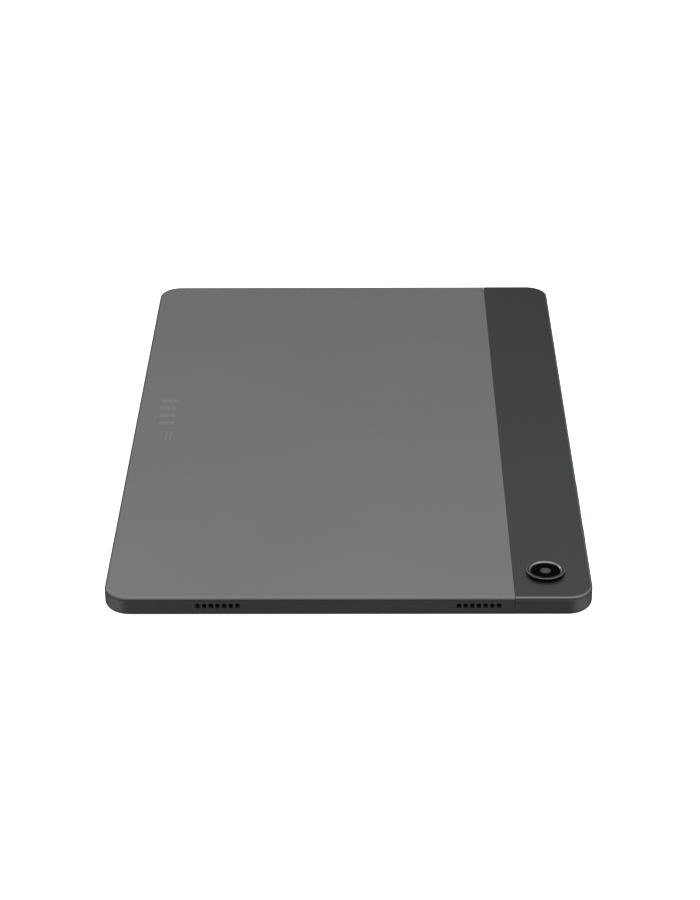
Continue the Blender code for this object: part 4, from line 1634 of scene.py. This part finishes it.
@dataclass
class ChargingPort:
    """The plated sleeve, open to the outside, and the tongue with two rows of contacts."""

    finishes: Finishes
    low: Vector
    high: Vector
    metal: float = 0.25 * MM
    contacts: int = 12
    pitch: float = 0.5 * MM
    tongue_half: Point = (3.3 * MM, 0.35 * MM)

    def sleeve(self) -> Piece:
        """Return the sleeve: rolled outside, flared mouth and a closed back.

        Returns:
            The finished piece.
        """
        level = (self.low.z + self.high.z) / 2
        half_u = self.high.x
        half_v = (self.high.z - self.low.z) / 2
        back, front = self.low.y, self.high.y

        def ring(inset: float, place: float) -> Ring:
            """Return the sleeve's outline drawn in by a distance."""
            return rounded(half_u - inset, half_v - inset, 1.5 * MM - inset, 10, (0.0, level)), place

        rings = [ring(0.0, back), ring(0.0, front - 0.12 * MM), ring(0.05 * MM, front)]
        rings += [ring(0.14 * MM, front), ring(self.metal, front - 0.25 * MM)]
        rings += [ring(self.metal, back + 0.6 * MM)]
        sleeve = lofted("port_sleeve", rings, self.finishes.port, Axis.Y)
        return hand_over(sleeve, Body.TABLET, "port_steel", "charging_port_sleeve")

    def tongue(self) -> Piece:
        """Return the tongue with a rounded nose and a stepped root.

        Returns:
            The finished piece.
        """
        level = (self.low.z + self.high.z) / 2
        half_u, half_v = self.tongue_half
        root, nose = self.low.y + 0.7 * MM, self.high.y - 1.2 * MM

        def ring(shrink: Point, radius: float, place: float) -> Ring:
            """Return the tongue's outline, smaller by two distances, at a place along it."""
            return rounded(half_u - shrink[0], half_v - shrink[1], radius, 6, (0.0, level)), place

        plain, thicker, slimmer = ORIGIN, (0.0, -0.25 * MM), (0.18 * MM, 0.13 * MM)
        rings = [ring(thicker, 0.2 * MM, root), ring(thicker, 0.2 * MM, root + 1.1 * MM)]
        rings += [ring(plain, 0.2 * MM, root + 1.2 * MM), ring(plain, 0.2 * MM, nose - 0.25 * MM)]
        rings += [ring(slimmer, 0.15 * MM, nose)]
        tongue = lofted("port_tongue", rings, self.finishes.dark_hollow, Axis.Y)
        return hand_over(tongue, Body.TABLET, "frame_plastic", "charging_port_tongue")

    def contact_rows(self) -> Piece:
        """Return the contacts of both sides of the tongue, made by Geometry Nodes.

        Returns:
            The finished piece.
        """
        level = (self.low.z + self.high.z) / 2
        sheet = GeometrySheet("contact_rows")
        count = sheet.ask("Contacts", "Int", self.contacts)
        pitch = sheet.ask("Pitch", "Float", self.pitch)
        width = sheet.ask("Width", "Float", 0.28 * MM)
        thickness = sheet.ask("Thickness", "Float", 0.06 * MM)
        start, end = self.low.y + 2.0 * MM, self.high.y - 1.6 * MM
        profile = sheet.add("CurvePrimitiveQuadrilateral", {"Width": width, "Height": thickness})
        path = sheet.add("CurvePrimitiveLine", {"Start": (0, start, 0), "End": (0, end, 0)})
        strip = sheet.swept(path.outputs[0], profile.outputs[0])
        step = sheet.vector(pitch, 0.0, 0.0)
        rows = []
        for side in (-1.0, 1.0):
            place = (-self.pitch * (self.contacts - 1) / 2, 0.0, level + side * self.tongue_half[1])
            rows.append(sheet.row(count, place, step, strip))
        sheet.finish(sheet.joined(*rows), self.finishes.contact)
        return hand_over(sheet.run("port_contacts"), Body.TABLET, "port_steel")

    def build(self) -> None:
        """Build the sleeve, the tongue and its contacts."""
        self.sleeve()
        self.tongue()
        self.contact_rows()


@dataclass
class AudioSocket:
    """The audio socket's moulded block with its bore, and the trim ring in the wall."""

    finishes: Finishes
    low: Vector
    high: Vector
    bore: float = 1.75 * MM
    ring_outer: float = 1.77 * MM
    ring_inner: float = 1.58 * MM
    wall_end: float = 125.45 * MM

    def middle(self) -> Point:
        """Return the socket's axis."""
        return ((self.low.x + self.high.x) / 2, (self.low.z + self.high.z) / 2)

    def block(self) -> Piece:
        """Return the block, bored from its outer face.

        Returns:
            The finished piece.
        """
        half_u = (self.high.x - self.low.x) / 2
        half_v = (self.high.z - self.low.z) / 2
        body = rounded(half_u, half_v, 0.45 * MM, 7, self.middle())
        hole = circle(self.bore, len(body), self.middle())
        rings = [(body, self.low.y), (body, self.high.y), (hole, self.high.y), (hole, self.low.y + 0.8 * MM)]
        block = lofted("audio_block", rings, self.finishes.frame, Axis.Y)
        return hand_over(block, Body.TABLET, "frame_plastic", "audio_jack")

    def trim(self) -> Piece:
        """Return the thin trim ring.

        Returns:
            The finished piece.
        """
        outer, inner = self.ring_outer, self.ring_inner
        back, front = self.high.y + 0.1 * MM, self.wall_end
        section = [(outer, back), (outer, front - 0.06 * MM), (outer - 0.06 * MM, front)]
        section += [(inner + 0.06 * MM, front), (inner, front - 0.08 * MM), (inner, back)]
        rings = [(circle(radius, 48, self.middle()), place) for radius, place in section]
        trim = lofted("audio_trim", rings, self.finishes.frame, Axis.Y, closed=True)
        return hand_over(trim, Body.TABLET, "frame_plastic")

    def build(self) -> None:
        """Build both pieces."""
        self.block()
        self.trim()


@dataclass
class DustMeshes:
    """Woven wire behind the four rows of sound holes, and the microphone's felt."""

    finishes: Finishes
    half: Point
    middle_x: float
    level: float
    depth_y: float
    pitch: float = 0.42 * MM
    wire: float = 0.07 * MM
    wave: float = 0.06 * MM

    def weave(self) -> Piece:
        """Return the wires of all four meshes, made by Geometry Nodes.

        Returns:
            The finished piece.
        """
        sheet = GeometrySheet("woven_wires")
        pitch = sheet.ask("Pitch", "Float", self.pitch)
        wire = sheet.ask("Wire", "Float", self.wire)
        wave = sheet.ask("Wave", "Float", self.wave)
        ends = sheet.ask("Places", "Vector", (self.middle_x, self.depth_y, self.level))
        profile = sheet.add("CurvePrimitiveCircle", {"Resolution": 5, "Radius": wire}, mode="RADIUS")
        sets = []
        for across, (length, width) in ((True, self.half), (False, (self.half[1], self.half[0]))):
            end = (length, 0.0, 0.0) if across else (0.0, 0.0, length)
            start = tuple(-value for value in end)
            line = sheet.add("CurvePrimitiveLine", {"Start": start, "End": end})
            steps = max(4, round(2 * length / self.pitch) * 4)
            fine = sheet.add("ResampleCurve", {"Curve": line.outputs[0], "Count": steps + 1}, mode="COUNT")
            apart = sheet.add("ShaderNodeSeparateXYZ", {0: sheet.add("InputPosition").outputs[0]})
            turns = sheet.maths("DIVIDE", apart.outputs[0 if across else 2], pitch)
            angle = sheet.maths("MULTIPLY", turns, math.pi)
            rise = sheet.maths("MULTIPLY", sheet.maths("SINE" if across else "COSINE", angle), wave)
            offset = sheet.vector(0.0, rise, 0.0)
            bent = sheet.add("SetPosition", {"Geometry": fine.outputs[0], "Offset": offset})
            tube = sheet.swept(bent.outputs[0], profile.outputs[0])
            count = max(2, int(2 * width / self.pitch))
            first = -self.pitch * (count - 1) / 2
            place = (0.0, 0.0, first) if across else (first, 0.0, 0.0)
            step = sheet.vector(0.0, 0.0, pitch) if across else sheet.vector(pitch, 0.0, 0.0)
            sets.append(sheet.row(count, place, step, tube))
        cloth = sheet.joined(*sets)
        panels = []
        for side in ((-1.0, -1.0, 1.0), (-1.0, 1.0, 1.0), (1.0, -1.0, 1.0), (1.0, 1.0, 1.0)):
            place = sheet.add("ShaderNodeVectorMath", {0: ends, 1: side}, operation="MULTIPLY")
            moved = sheet.add("Transform", {"Geometry": cloth, "Translation": place.outputs[0]})
            panels.append(moved.outputs[0])
        sheet.finish(sheet.joined(*panels), self.finishes.wire)
        nodes = [f"speaker_mesh_{end}_{side}" for end in ("near", "far") for side in ("left", "right")]
        return hand_over(sheet.run("dust_meshes"), Body.TABLET, "woven_mesh", *nodes)

    def felt(self, place_x: float, level: float) -> Piece:
        """Return the felt disc behind the microphone's hole.

        Args:
            place_x: where the hole is along the side.
            level: the hole's height.

        Returns:
            The finished piece.
        """
        section = ((0.85 * MM, 0.1 * MM), (0.85 * MM, 0.32 * MM), (0.7 * MM, 0.38 * MM))
        rings = [(circle(radius, 32, (place_x, level)), self.depth_y + step) for radius, step in section]
        disc = lofted("microphone_felt", rings, self.finishes.mesh, Axis.Y)
        return hand_over(disc, Body.TABLET, "woven_mesh")


# ---------------------------------------------------------------- screws and the printed mark


@dataclass
class BoardScrews:
    """The six low screws of the two boards, with cross recesses turned at random."""

    finishes: Finishes
    nodes: list[str]
    shank: float = 0.5 * MM
    head: float = 1.15 * MM
    seed: int = 7

    def pattern(self, low: float, high: float) -> Piece:
        """Return one screw that stands on its own axis.

        Args:
            low: the shank's end.
            high: the head's top.

        Returns:
            The screw.
        """
        head_base = high - 0.5 * MM
        section = [(self.shank * 0.6, low), (self.shank, low + 0.2 * MM), (self.shank, head_base)]
        section += [(self.head, head_base), (self.head, head_base + 0.3 * MM)]
        section += [(self.head * 0.93, head_base + 0.42 * MM), (self.head * 0.7, high), (0.1 * MM, high)]
        screw = turned("screw_pattern", section, (0.0, 0.0), 24, self.finishes.screw)
        for half in ((0.62 * MM, 0.13 * MM), (0.13 * MM, 0.62 * MM)):
            outline = rounded(*half, 0.1 * MM, 2)
            levels = [(outline, high - 0.3 * MM), (outline, high + 0.3 * MM)]
            carve(screw, lofted("recess_cutter", levels, BodyShape.tool_finish()))
        return screw

    def build(self) -> Piece:
        """Return every screw as one piece, set by Geometry Nodes.

        Returns:
            The finished piece.
        """
        low, high = corners(self.nodes[0])
        pattern = self.pattern(low.z, high.z)
        sheet = GeometrySheet("board_screws")
        source = sheet.ask("Screw", "Object", pattern)
        seed = sheet.ask("Seed", "Int", self.seed)
        shape = sheet.add("ObjectInfo", {"Object": source})
        stands = []
        for node in self.nodes:
            point = sheet.add("Points", {"Count": 1, "Position": (*seen_from_above(node), 0.0)})
            stands.append(point.outputs[0])
        turn = sheet.add("FunctionNodeRandomValue", {2: 0.0, 3: math.tau, 8: seed}, data_type="FLOAT")
        spin = sheet.vector(0.0, 0.0, turn.outputs[1])
        laid = sheet.add(
            "InstanceOnPoints",
            {"Points": sheet.joined(*stands), "Instance": shape.outputs["Geometry"], "Rotation": spin},
        )
        sheet.finish(laid.outputs[0], self.finishes.screw)
        screws = sheet.run("board_screw_set")
        bpy.data.objects.remove(pattern)
        return hand_over(screws, Body.TABLET, "screw_steel", *self.nodes)


@dataclass
class PrintedMark:
    """A plain mark on the back: rows of short bars and two long strokes, all almost level with it."""

    finishes: Finishes
    level: float
    place: Point = (-68.1 * MM, 9.4 * MM)
    rows: int = 4
    row_step: float = 6.2 * MM
    dashes: int = 3
    dash: Point = (1.75 * MM, 2.9 * MM)
    dash_step: float = 2.0 * MM
    stroke: Point = (0.55 * MM, 7.6 * MM)
    stroke_place: Point = (-66.5 * MM, -10.4 * MM)
    stroke_step: float = 1.5 * MM
    proud: float = 0.012 * MM

    def build(self) -> Piece:
        """Return the mark as one piece, laid out by Geometry Nodes.

        Returns:
            The finished piece.
        """
        sheet = GeometrySheet("printed_mark")
        rows = sheet.ask("Rows", "Int", self.rows)
        row_step = sheet.ask("Row step", "Float", self.row_step)
        dashes = sheet.ask("Dashes", "Int", self.dashes)
        dash_step = sheet.ask("Dash step", "Float", self.dash_step)
        ends = {"Start": (0, 0, self.level - 0.02 * MM), "End": (0, 0, self.level + self.proud)}
        path = sheet.add("CurvePrimitiveLine", ends)

        def slab(size: Point) -> Socket:
            """Return a thin slab with rounded corners.

            Args:
                size: its width and height.

            Returns:
                The slab's geometry.
            """
            outline = sheet.add("CurvePrimitiveQuadrilateral", {"Width": size[0], "Height": size[1]})
            inputs = {"Curve": outline.outputs[0], "Radius": min(size) * 0.4, "Count": 4}
            soft = sheet.add("FilletCurve", inputs, mode="POLY")
            return sheet.swept(path.outputs[0], soft.outputs[0])

        first = (self.place[0] - self.dash_step * (self.dashes - 1) / 2, 0.0, 0.0)
        row = sheet.row(dashes, first, sheet.vector(dash_step, 0.0, 0.0), slab(self.dash))
        start = (0.0, self.place[1] - self.row_step * (self.rows - 1) / 2, 0.0)
        block = sheet.row(rows, start, sheet.vector(0.0, row_step, 0.0), row)
        left = (self.stroke_place[0] - self.stroke_step / 2, self.stroke_place[1], 0.0)
        strokes = sheet.row(2, left, (self.stroke_step, 0.0, 0.0), slab(self.stroke))
        sheet.finish(sheet.joined(block, strokes), self.finishes.mark)
        return hand_over(sheet.run("back_mark"), Body.TABLET, "back_metal")


# ---------------------------------------------------------------- solids that keep their shape


@dataclass
class InnerParts:
    """The parts inside the body, which keep their solids and get their finishes here."""

    finishes: Finishes

    def dress(self, finish: Material, *nodes: str) -> None:
        """Give solids a finish.

        Args:
            finish: the material.
            *nodes: the solids' names.
        """
        for node in nodes:
            for place in bpy.data.objects[node].material_slots:
                place.material = finish
            LOG.info("%s: solid kept, finish %s", node, finish.name)

    def build(self) -> None:
        """Dress every solid that is kept."""
        finishes = self.finishes
        self.dress(finishes.frame, "mid_frame")
        self.dress(finishes.panel, "display_panel")
        self.dress(finishes.pouch, "battery_cell_left", "battery_cell_right")
        self.dress(finishes.board, "battery_board", "main_board", "port_board")
        self.dress(finishes.tinned, "processor_shield", "radio_shield", "card_socket", "card_ejector")
        self.dress(finishes.tinned, "key_bracket", "power_switch", "volume_down_switch", "volume_up_switch")
        self.dress(finishes.tinned, "microphone")
        self.dress(finishes.ivory, "battery_connector", "camera_connector", "display_connector")
        self.dress(finishes.ivory, "key_connector", "link_connector_main", "link_connector_port")
        self.dress(finishes.film, "link_flex", "camera_flex", "antenna_far", "antenna_near")
        self.dress(finishes.film_across, "display_flex", "battery_lead", "jack_flex", "key_flex")
        self.dress(finishes.speaker, "speaker_near_left", "speaker_near_right")
        self.dress(finishes.speaker, "speaker_far_left", "speaker_far_right")
        self.dress(finishes.ring_wall, "rear_camera", "front_camera")
        self.dress(finishes.graphite, "graphite_sheet")


# ---------------------------------------------------------------- stage, light and camera


class Air:
    """The world's node tree, with short calls for light that depends on direction."""

    def __init__(self, name: str) -> None:
        """Make a world and split the view direction into its three components.

        Args:
            name: its name.
        """
        self.world = bpy.data.worlds.new(name)
        self.world.use_nodes = True
        bpy.context.scene.world = self.world
        self.tree = self.world.node_tree
        apart = self.tree.nodes.new("ShaderNodeSeparateXYZ")
        self.tree.links.new(self.tree.nodes.new("ShaderNodeTexCoord").outputs["Generated"], apart.inputs[0])
        self.x, self.y, self.z = apart.outputs

    def maths(self, operation: str, first: object, second: object = 0.0) -> Socket:
        """Return the result of a two-input Math node.

        Args:
            operation: the node's operation.
            first: a number or an output socket.
            second: a number or an output socket.

        Returns:
            The node's result.
        """
        node = self.tree.nodes.new("ShaderNodeMath")
        node.operation = operation
        for socket, value in zip(node.inputs, (first, second)):
            if isinstance(value, Socket):
                self.tree.links.new(value, socket)
            else:
                socket.default_value = value
        return node.outputs[0]

    def scaled(self, value: Socket, low: float, high: float, soft: bool = False) -> Socket:
        """Map a range to 0 to 1.

        Args:
            value: the value, a number or an output socket.
            low: the low end.
            high: the high end.
            soft: ease in and out of both ends, for a share of light.

        Returns:
            The mapped value.
        """
        node = self.tree.nodes.new("ShaderNodeMapRange")
        node.interpolation_type = "SMOOTHSTEP" if soft else "LINEAR"
        self.tree.links.new(value, node.inputs[0])
        node.inputs[1].default_value = low
        node.inputs[2].default_value = high
        return node.outputs[0]

    def ramp(self, value: Socket, stops: tuple[Point, ...]) -> Socket:
        """Return the light of a ramp.

        Args:
            value: where on the ramp, 0 to 1.
            stops: pairs of a place and its share of the sky's full strength.

        Returns:
            The ramp's colour.
        """
        node = self.tree.nodes.new("ShaderNodeValToRGB")
        self.tree.links.new(value, node.inputs[0])
        elements = node.color_ramp.elements
        while len(elements) < len(stops):
            elements.new(0.5)
        for element, (place, light) in zip(elements, stops):
            element.position = place
            element.color = (light, light, light, 1.0)
        return node.outputs[0]

    def mixed(self, share: Socket, first: Socket, second: Socket) -> Socket:
        """Mix two lights by a share.

        Args:
            share: the share of the second light.
            first: the light where the share is 0.
            second: the light where the share is 1.

        Returns:
            The mixed light.
        """
        node = self.tree.nodes.new("ShaderNodeMix")
        node.data_type = "RGBA"
        for socket, value in zip((node.inputs[0], node.inputs[6], node.inputs[7]), (share, first, second)):
            self.tree.links.new(value, socket)
        return node.outputs[2]

    def shine(self, light: Socket) -> None:
        """Send the light out, as strong as the ramps' shares of it stand for.

        Args:
            light: the light's socket.
        """
        background = self.tree.nodes["Background"]
        self.tree.links.new(light, background.inputs["Color"])
        background.inputs["Strength"].default_value = SKY_STRENGTH


def half_turn(angle: float) -> float:
    """Return an angle's place on a ramp that runs from -180 to 180 degrees."""
    return (angle + 180.0) / 360.0


def quarter_turn(angle: float) -> float:
    """Return an angle's place on a ramp that runs from -90 to 90 degrees."""
    return (angle + 90.0) / 180.0


SKY_STRENGTH = 4.0
MIDDLE_SKY = (
    (half_turn(-180), 0.02),
    (half_turn(-120), 0.03),
    (half_turn(0), 0.025),
    (half_turn(15), 0.1),
    (half_turn(25), 0.24),
    (half_turn(35), 0.31),
    (half_turn(60), 0.24),
    (half_turn(90), 0.36),
    (half_turn(115), 0.25),
    (half_turn(150), 0.16),
    (half_turn(180), 0.02),
)
RIGHT_SKY = (
    (quarter_turn(-90), 0.12),
    (quarter_turn(0), 0.1),
    (quarter_turn(30), 0.15),
    (quarter_turn(60), 0.35),
    (quarter_turn(90), 0.38),
)
LEFT_SKY = (
    (quarter_turn(-90), 0.1),
    (quarter_turn(0), 0.1),
    (quarter_turn(60), 0.2),
    (quarter_turn(90), 0.22),
)


@dataclass
class Studio:
    """Pale floor and backdrop, soft light from above and both sides, and the camera."""

    floor_level: float = -0.05 * MM
    floor_depth: float = 0.02
    floor_radius: float = 9.0
    wall_top: float = 6.0
    lamp_place: Place = (-0.62, 0.50, 0.52)
    lamp_aim: Place = (0.06, -0.11, 0.0)
    lamp_size: Point = (0.26, 0.2)
    lamp_power: float = 0.5
    camera_place: Place = (8.41 * MM, -797.16 * MM, 407.52 * MM)
    camera_turn: Place = (62.7077, 0.3312, 0.4679)
    lens: float = 96.903

    def white(self) -> Material:
        """Return a plain white surface with a glow of its own.

        Returns:
            The finished material.
        """
        sheet = ShaderSheet("white_floor")
        sheet.set(Base_Color=(0.9, 0.9, 0.9, 1.0), Roughness=0.9)
        sheet.set(Emission_Color=(1.0, 1.0, 1.0, 1.0), Emission_Strength=1.0)
        return sheet.material

    def set_stage(self, piece: Piece) -> None:
        """Keep a surface of the stage for the camera alone, out of reflections and shadows.

        Args:
            piece: the surface.
        """
        for flag in ("visible_diffuse", "visible_glossy", "visible_transmission", "visible_shadow"):
            setattr(piece, flag, False)

    def room(self) -> None:
        """Build the floor and the wall far behind it."""
        finish = self.white()
        low = self.floor_level - self.floor_depth
        disc = circle(self.floor_radius, 64)
        self.set_stage(lofted("floor", [(disc, low), (disc, self.floor_level)], finish))
        outer = circle(self.floor_radius * 1.01, 64)
        inner = circle(self.floor_radius * 0.99, 64)
        rings = [(outer, low), (outer, self.wall_top)]
        rings += [(inner, self.wall_top), (inner, self.floor_level + 1 * MM)]
        self.set_stage(lofted("backdrop", rings, finish, closed=True))

    def sky(self) -> None:
        """Light the room with one ramp over the tablet's length and two for its sides."""
        air = Air("studio_air")
        along = air.maths("ARCTAN2", air.z, air.y)
        middle = air.ramp(air.scaled(along, -math.pi, math.pi), MIDDLE_SKY)
        height = air.scaled(air.maths("ARCSINE", air.z), -math.pi / 2, math.pi / 2)
        left_share = air.scaled(air.maths("MULTIPLY", air.x, -1.0), 0.25, 0.75, soft=True)
        right_share = air.scaled(air.x, 0.25, 0.75, soft=True)
        light = air.mixed(left_share, middle, air.ramp(height, LEFT_SKY))
        air.shine(air.mixed(right_share, light, air.ramp(height, RIGHT_SKY)))

    def lamp(self) -> None:
        """Hang the small lamp that the camera ring's polished slope reflects."""
        data = bpy.data.lights.new("ring_box", "AREA")
        data.shape = "RECTANGLE"
        data.size, data.size_y = self.lamp_size
        data.energy = self.lamp_power
        lamp = bpy.data.objects.new("ring_box", data)
        lamp.location = self.lamp_place
        way = Vector(self.lamp_aim) - Vector(self.lamp_place)
        lamp.rotation_euler = way.to_track_quat("-Z", "Y").to_euler()
        bpy.context.scene.collection.objects.link(lamp)

    def camera(self) -> None:
        """Place the camera in front of the near short side, a little to its right."""
        data = bpy.data.cameras.new("camera")
        data.lens = self.lens
        data.sensor_width = 36.0
        data.clip_end = 100.0
        eye = bpy.data.objects.new("camera", data)
        eye.location = self.camera_place
        eye.rotation_euler = Euler([math.radians(angle) for angle in self.camera_turn], "XYZ")
        bpy.context.scene.collection.objects.link(eye)
        bpy.context.scene.camera = eye

    def build(self) -> None:
        """Build the stage."""
        bpy.context.scene.view_settings.view_transform = "Standard"
        self.room()
        self.sky()
        self.lamp()
        self.camera()


def edge_slots() -> list[tuple[Vector, Vector]]:
    """Return the boxes that need a slot in the long edge.

    Returns:
        The lowest and highest corners of both keys without their flanges, and of the tray.
    """
    flange = Vector((0.0, SideKey.flange_reach, SideKey.flange_rise))
    slots = []
    for node in ("power_button", "volume_rocker"):
        low, high = corners(node)
        slots.append((low + flange, high - flange))
    slots.append(corners("card_tray"))
    return slots


def build_keys(finishes: Finishes) -> None:
    """Build the power button on its one post and the volume rocker on its two.

    Args:
        finishes: the tablet's finishes.
    """
    power = seen_from_above("power_button")[1]
    volume = seen_from_above("volume_rocker")[1]
    half_spread = 7.5 * MM
    SideKey("power_button", Body.POWER_KEY, finishes, [power]).build()
    posts = [volume - half_spread, volume + half_spread]
    SideKey("volume_rocker", Body.VOLUME_KEY, finishes, posts).build()


def build_meshes(finishes: Finishes) -> None:
    """Build the wire behind the sound holes and the felt behind the microphone's hole.

    Args:
        finishes: the tablet's finishes.
    """
    low, high = corners("speaker_mesh_far_right")
    middle = (low + high) / 2
    half = ((high.x - low.x) / 2, (high.z - low.z) / 2)
    meshes = DustMeshes(finishes, half, middle.x, middle.z, middle.y)
    meshes.weave()
    meshes.felt(BackCover.microphone_x, BackCover.port_level)


def main() -> None:
    """Build every sub-assembly in order."""
    logging.basicConfig(level=logging.INFO, format="%(message)s")
    lens = seen_from_above("camera_ring")
    finishes = Finishes(lens, seen_from_above("front_camera"))
    cover_low, cover_high = corners("back_cover")
    _, strip_high = corners("camera_strip")
    shape = BodyShape(cover_low, Vector((strip_high.x, cover_high.y, cover_high.z)), cover_high.z)
    BackCover(shape, finishes).build()
    StripCover(shape, finishes, edge_slots(), lens).build()
    SeamBacking(shape, finishes).build()
    RearCamera(lens, shape.back_level, finishes).build()
    DisplaySide(shape, finishes).build()
    build_keys(finishes)
    CardTray(finishes, *corners("card_tray")).build()
    ChargingPort(finishes, *corners("charging_port_sleeve")).build()
    AudioSocket(finishes, *corners("audio_jack")).build()
    build_meshes(finishes)
    BoardScrews(finishes, [f"board_screw_{number}" for number in range(1, 7)]).build()
    PrintedMark(finishes, shape.back_level).build()
    InnerParts(finishes).build()
    Studio().build()


if __name__ == "__main__":
    main()
